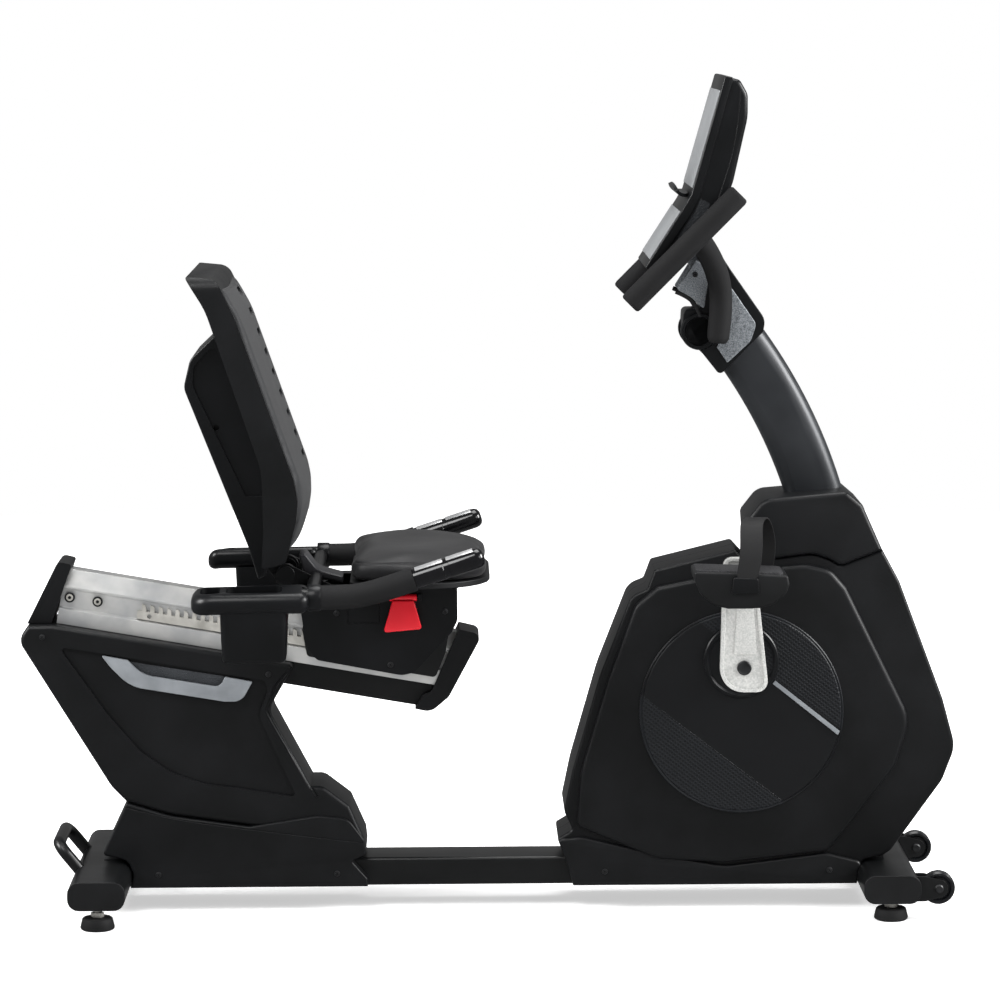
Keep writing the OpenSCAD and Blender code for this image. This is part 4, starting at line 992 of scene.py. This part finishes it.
def makeRoller(node, v):
    low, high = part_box(node)
    at = [(a + b) * 500 for a, b in zip(low, high)]
    name = node.split("_")[1].capitalize()
    finishPiece(turned(v["profile"], at, 64), "roller" + name, castUrethane, node)


makeLever(leverValues)
for node in footValues["nodes"]:
    makeFoot(node, footValues)
for node in rollerValues["nodes"]:
    makeRoller(node, rollerValues)
print("small parts made")

# ---- CAD nodes that stay: seen ones get eased edges (mm), hidden ones a material
easedNodes = {
    "main_beam": (powderCoat, 1.5), "rear_stabilizer": (powderCoat, 1.0),
    "front_stabilizer": (powderCoat, 1.0), "stabilizer_caps": (mattePolypropylene, 1.5),
    "wheel_brackets": (powderCoat, 0.8), "carry_handle": (powderCoat, 0.5),
    "seat_frame": (powderCoat, 0.8), "seat_rail": (brushedAluminium, 0.6), "seat_rack": (zincPlate, 0.4),
    "rail_caps": (mouldedAbs, 3.0), "mast_tube": (mastPaint, 0.6), "front_handlebar": (powderCoat, 0.5),
    "carriage_frame": (powderCoat, 0.8), "glide_pads": (nylonGlide, 0.5),
    "carriage_covers": (smoothAbs, 7.0), "seat_pan": (mattePolypropylene, 2.0),
    "side_handlebar": (powderCoat, 0.4), "backrest_arms": (powderCoat, 0.8)}
hiddenNodes = {
    "drive_frame": powderCoat, "drive_bearings": groundSteel, "brake_unit": castIron,
    "control_board": boardLacquer, "drive_belt": beltRubber, "latch_pin": zincPlate,
    "crank_spindle": groundSteel, "drive_pulley": castAluminium, "flywheel": castIron}


def easeNode(node, material, width):
    # a copy of the node's mesh with merged faces and rounded edges
    bm = bmesh.new()
    bm.from_mesh(frame["nodes"][node].data)
    bmesh.ops.remove_doubles(bm, verts=bm.verts, dist=2e-5)
    bmesh.ops.dissolve_limit(bm, angle_limit=math.radians(1.0), verts=bm.verts, edges=bm.edges,
                             delimit={"NORMAL"})
    finishPiece(bm, node + "Piece", material, node, smooth=32, bevelMm=width)


def dressNode(node, material):
    data = frame["nodes"][node].data
    data.materials.clear()
    data.materials.append(material)


for node, material in hiddenNodes.items():
    dressNode(node, material)
for node, (material, width) in easedNodes.items():
    easeNode(node, material, width)
print("carried over parts eased")

# ---- stage and light
stageValues = {"radius": 6.0, "near": 1.1, "far": 2.6, "glow": (0.52, 1.05)}


def makeStage(v):
    # a round white floor that brightens outwards until it meets the white background
    bm = bmesh.new()
    bmesh.ops.create_circle(bm, cap_ends=True, segments=96, radius=v["radius"])
    mesh = bpy.data.meshes.new("studioFloor")
    bm.to_mesh(mesh)
    bm.free()
    floor = bpy.data.objects.new("studioFloor", mesh)
    bpy.context.collection.objects.link(floor)
    paper, tree, shader, where = blankMaterial("whitePaper", {
        "Roughness": 0.9, "Base Color": linear("#fafafa"), "Specular IOR Level": 0.0,
        "Emission Color": (1, 1, 1, 1)})
    reach = addNode(tree, "ShaderNodeVectorMath", None, {0: (where, "Object")}, operation="LENGTH")
    glow = addNode(tree, "ShaderNodeMapRange", {"From Min": v["near"], "From Max": v["far"],
                   "To Min": v["glow"][0], "To Max": v["glow"][1]}, {"Value": (reach, "Value")})
    tree.links.new(glow.outputs[0], shader.inputs["Emission Strength"])
    mesh.materials.append(paper)
    floor.visible_glossy = False


lightValues = {  # name: place, aim, size, power
    "keyLight": ((-1.6, -3.4, 4.4), (0, 0, 0.6), 2.0, 120),
    "fillLight": ((3.4, -3.6, 2.6), (0.2, 0, 0.7), 2.0, 50),
    "topLight": ((0.4, 0.4, 4.6), (0, 0, 0.5), 2.6, 130),
    "frontLight": ((4.2, -0.9, 2.6), (0.4, 0, 0.6), 2.0, 330),
    "rearLight": ((-4.2, -0.9, 2.8), (-0.3, 0, 0.6), 1.8, 230)}


def makeLights(values):
    for name, (place, aim, size, power) in values.items():
        data = bpy.data.lights.new(name, "AREA")
        data.size = size
        data.energy = power
        lamp = bpy.data.objects.new(name, data)
        bpy.context.collection.objects.link(lamp)
        way = Vector(aim) - Vector(place)
        lamp.matrix_world = Matrix.Translation(place) @ way.to_track_quat("-Z", "Y").to_matrix().to_4x4()
    # a white background to look at, a dim one to light with
    world = bpy.data.worlds.new("studioWorld")
    world.use_nodes = True
    tree = world.node_tree
    tree.nodes.clear()
    dim = addNode(tree, "ShaderNodeBackground", {"Color": (1, 1, 1, 1), "Strength": 0.22})
    white = addNode(tree, "ShaderNodeBackground", {"Color": (1, 1, 1, 1), "Strength": 1.0})
    seen = addNode(tree, "ShaderNodeLightPath")
    both = addNode(tree, "ShaderNodeMixShader", None,
                   {0: (seen, "Is Camera Ray"), 1: (dim, 0), 2: (white, 0)})
    addNode(tree, "ShaderNodeOutputWorld", None, {"Surface": (both, 0)})
    bpy.context.scene.world = world
    bpy.context.scene.view_settings.view_transform = "Standard"


makeStage(stageValues)
makeLights(lightValues)
print("stage and lights made")
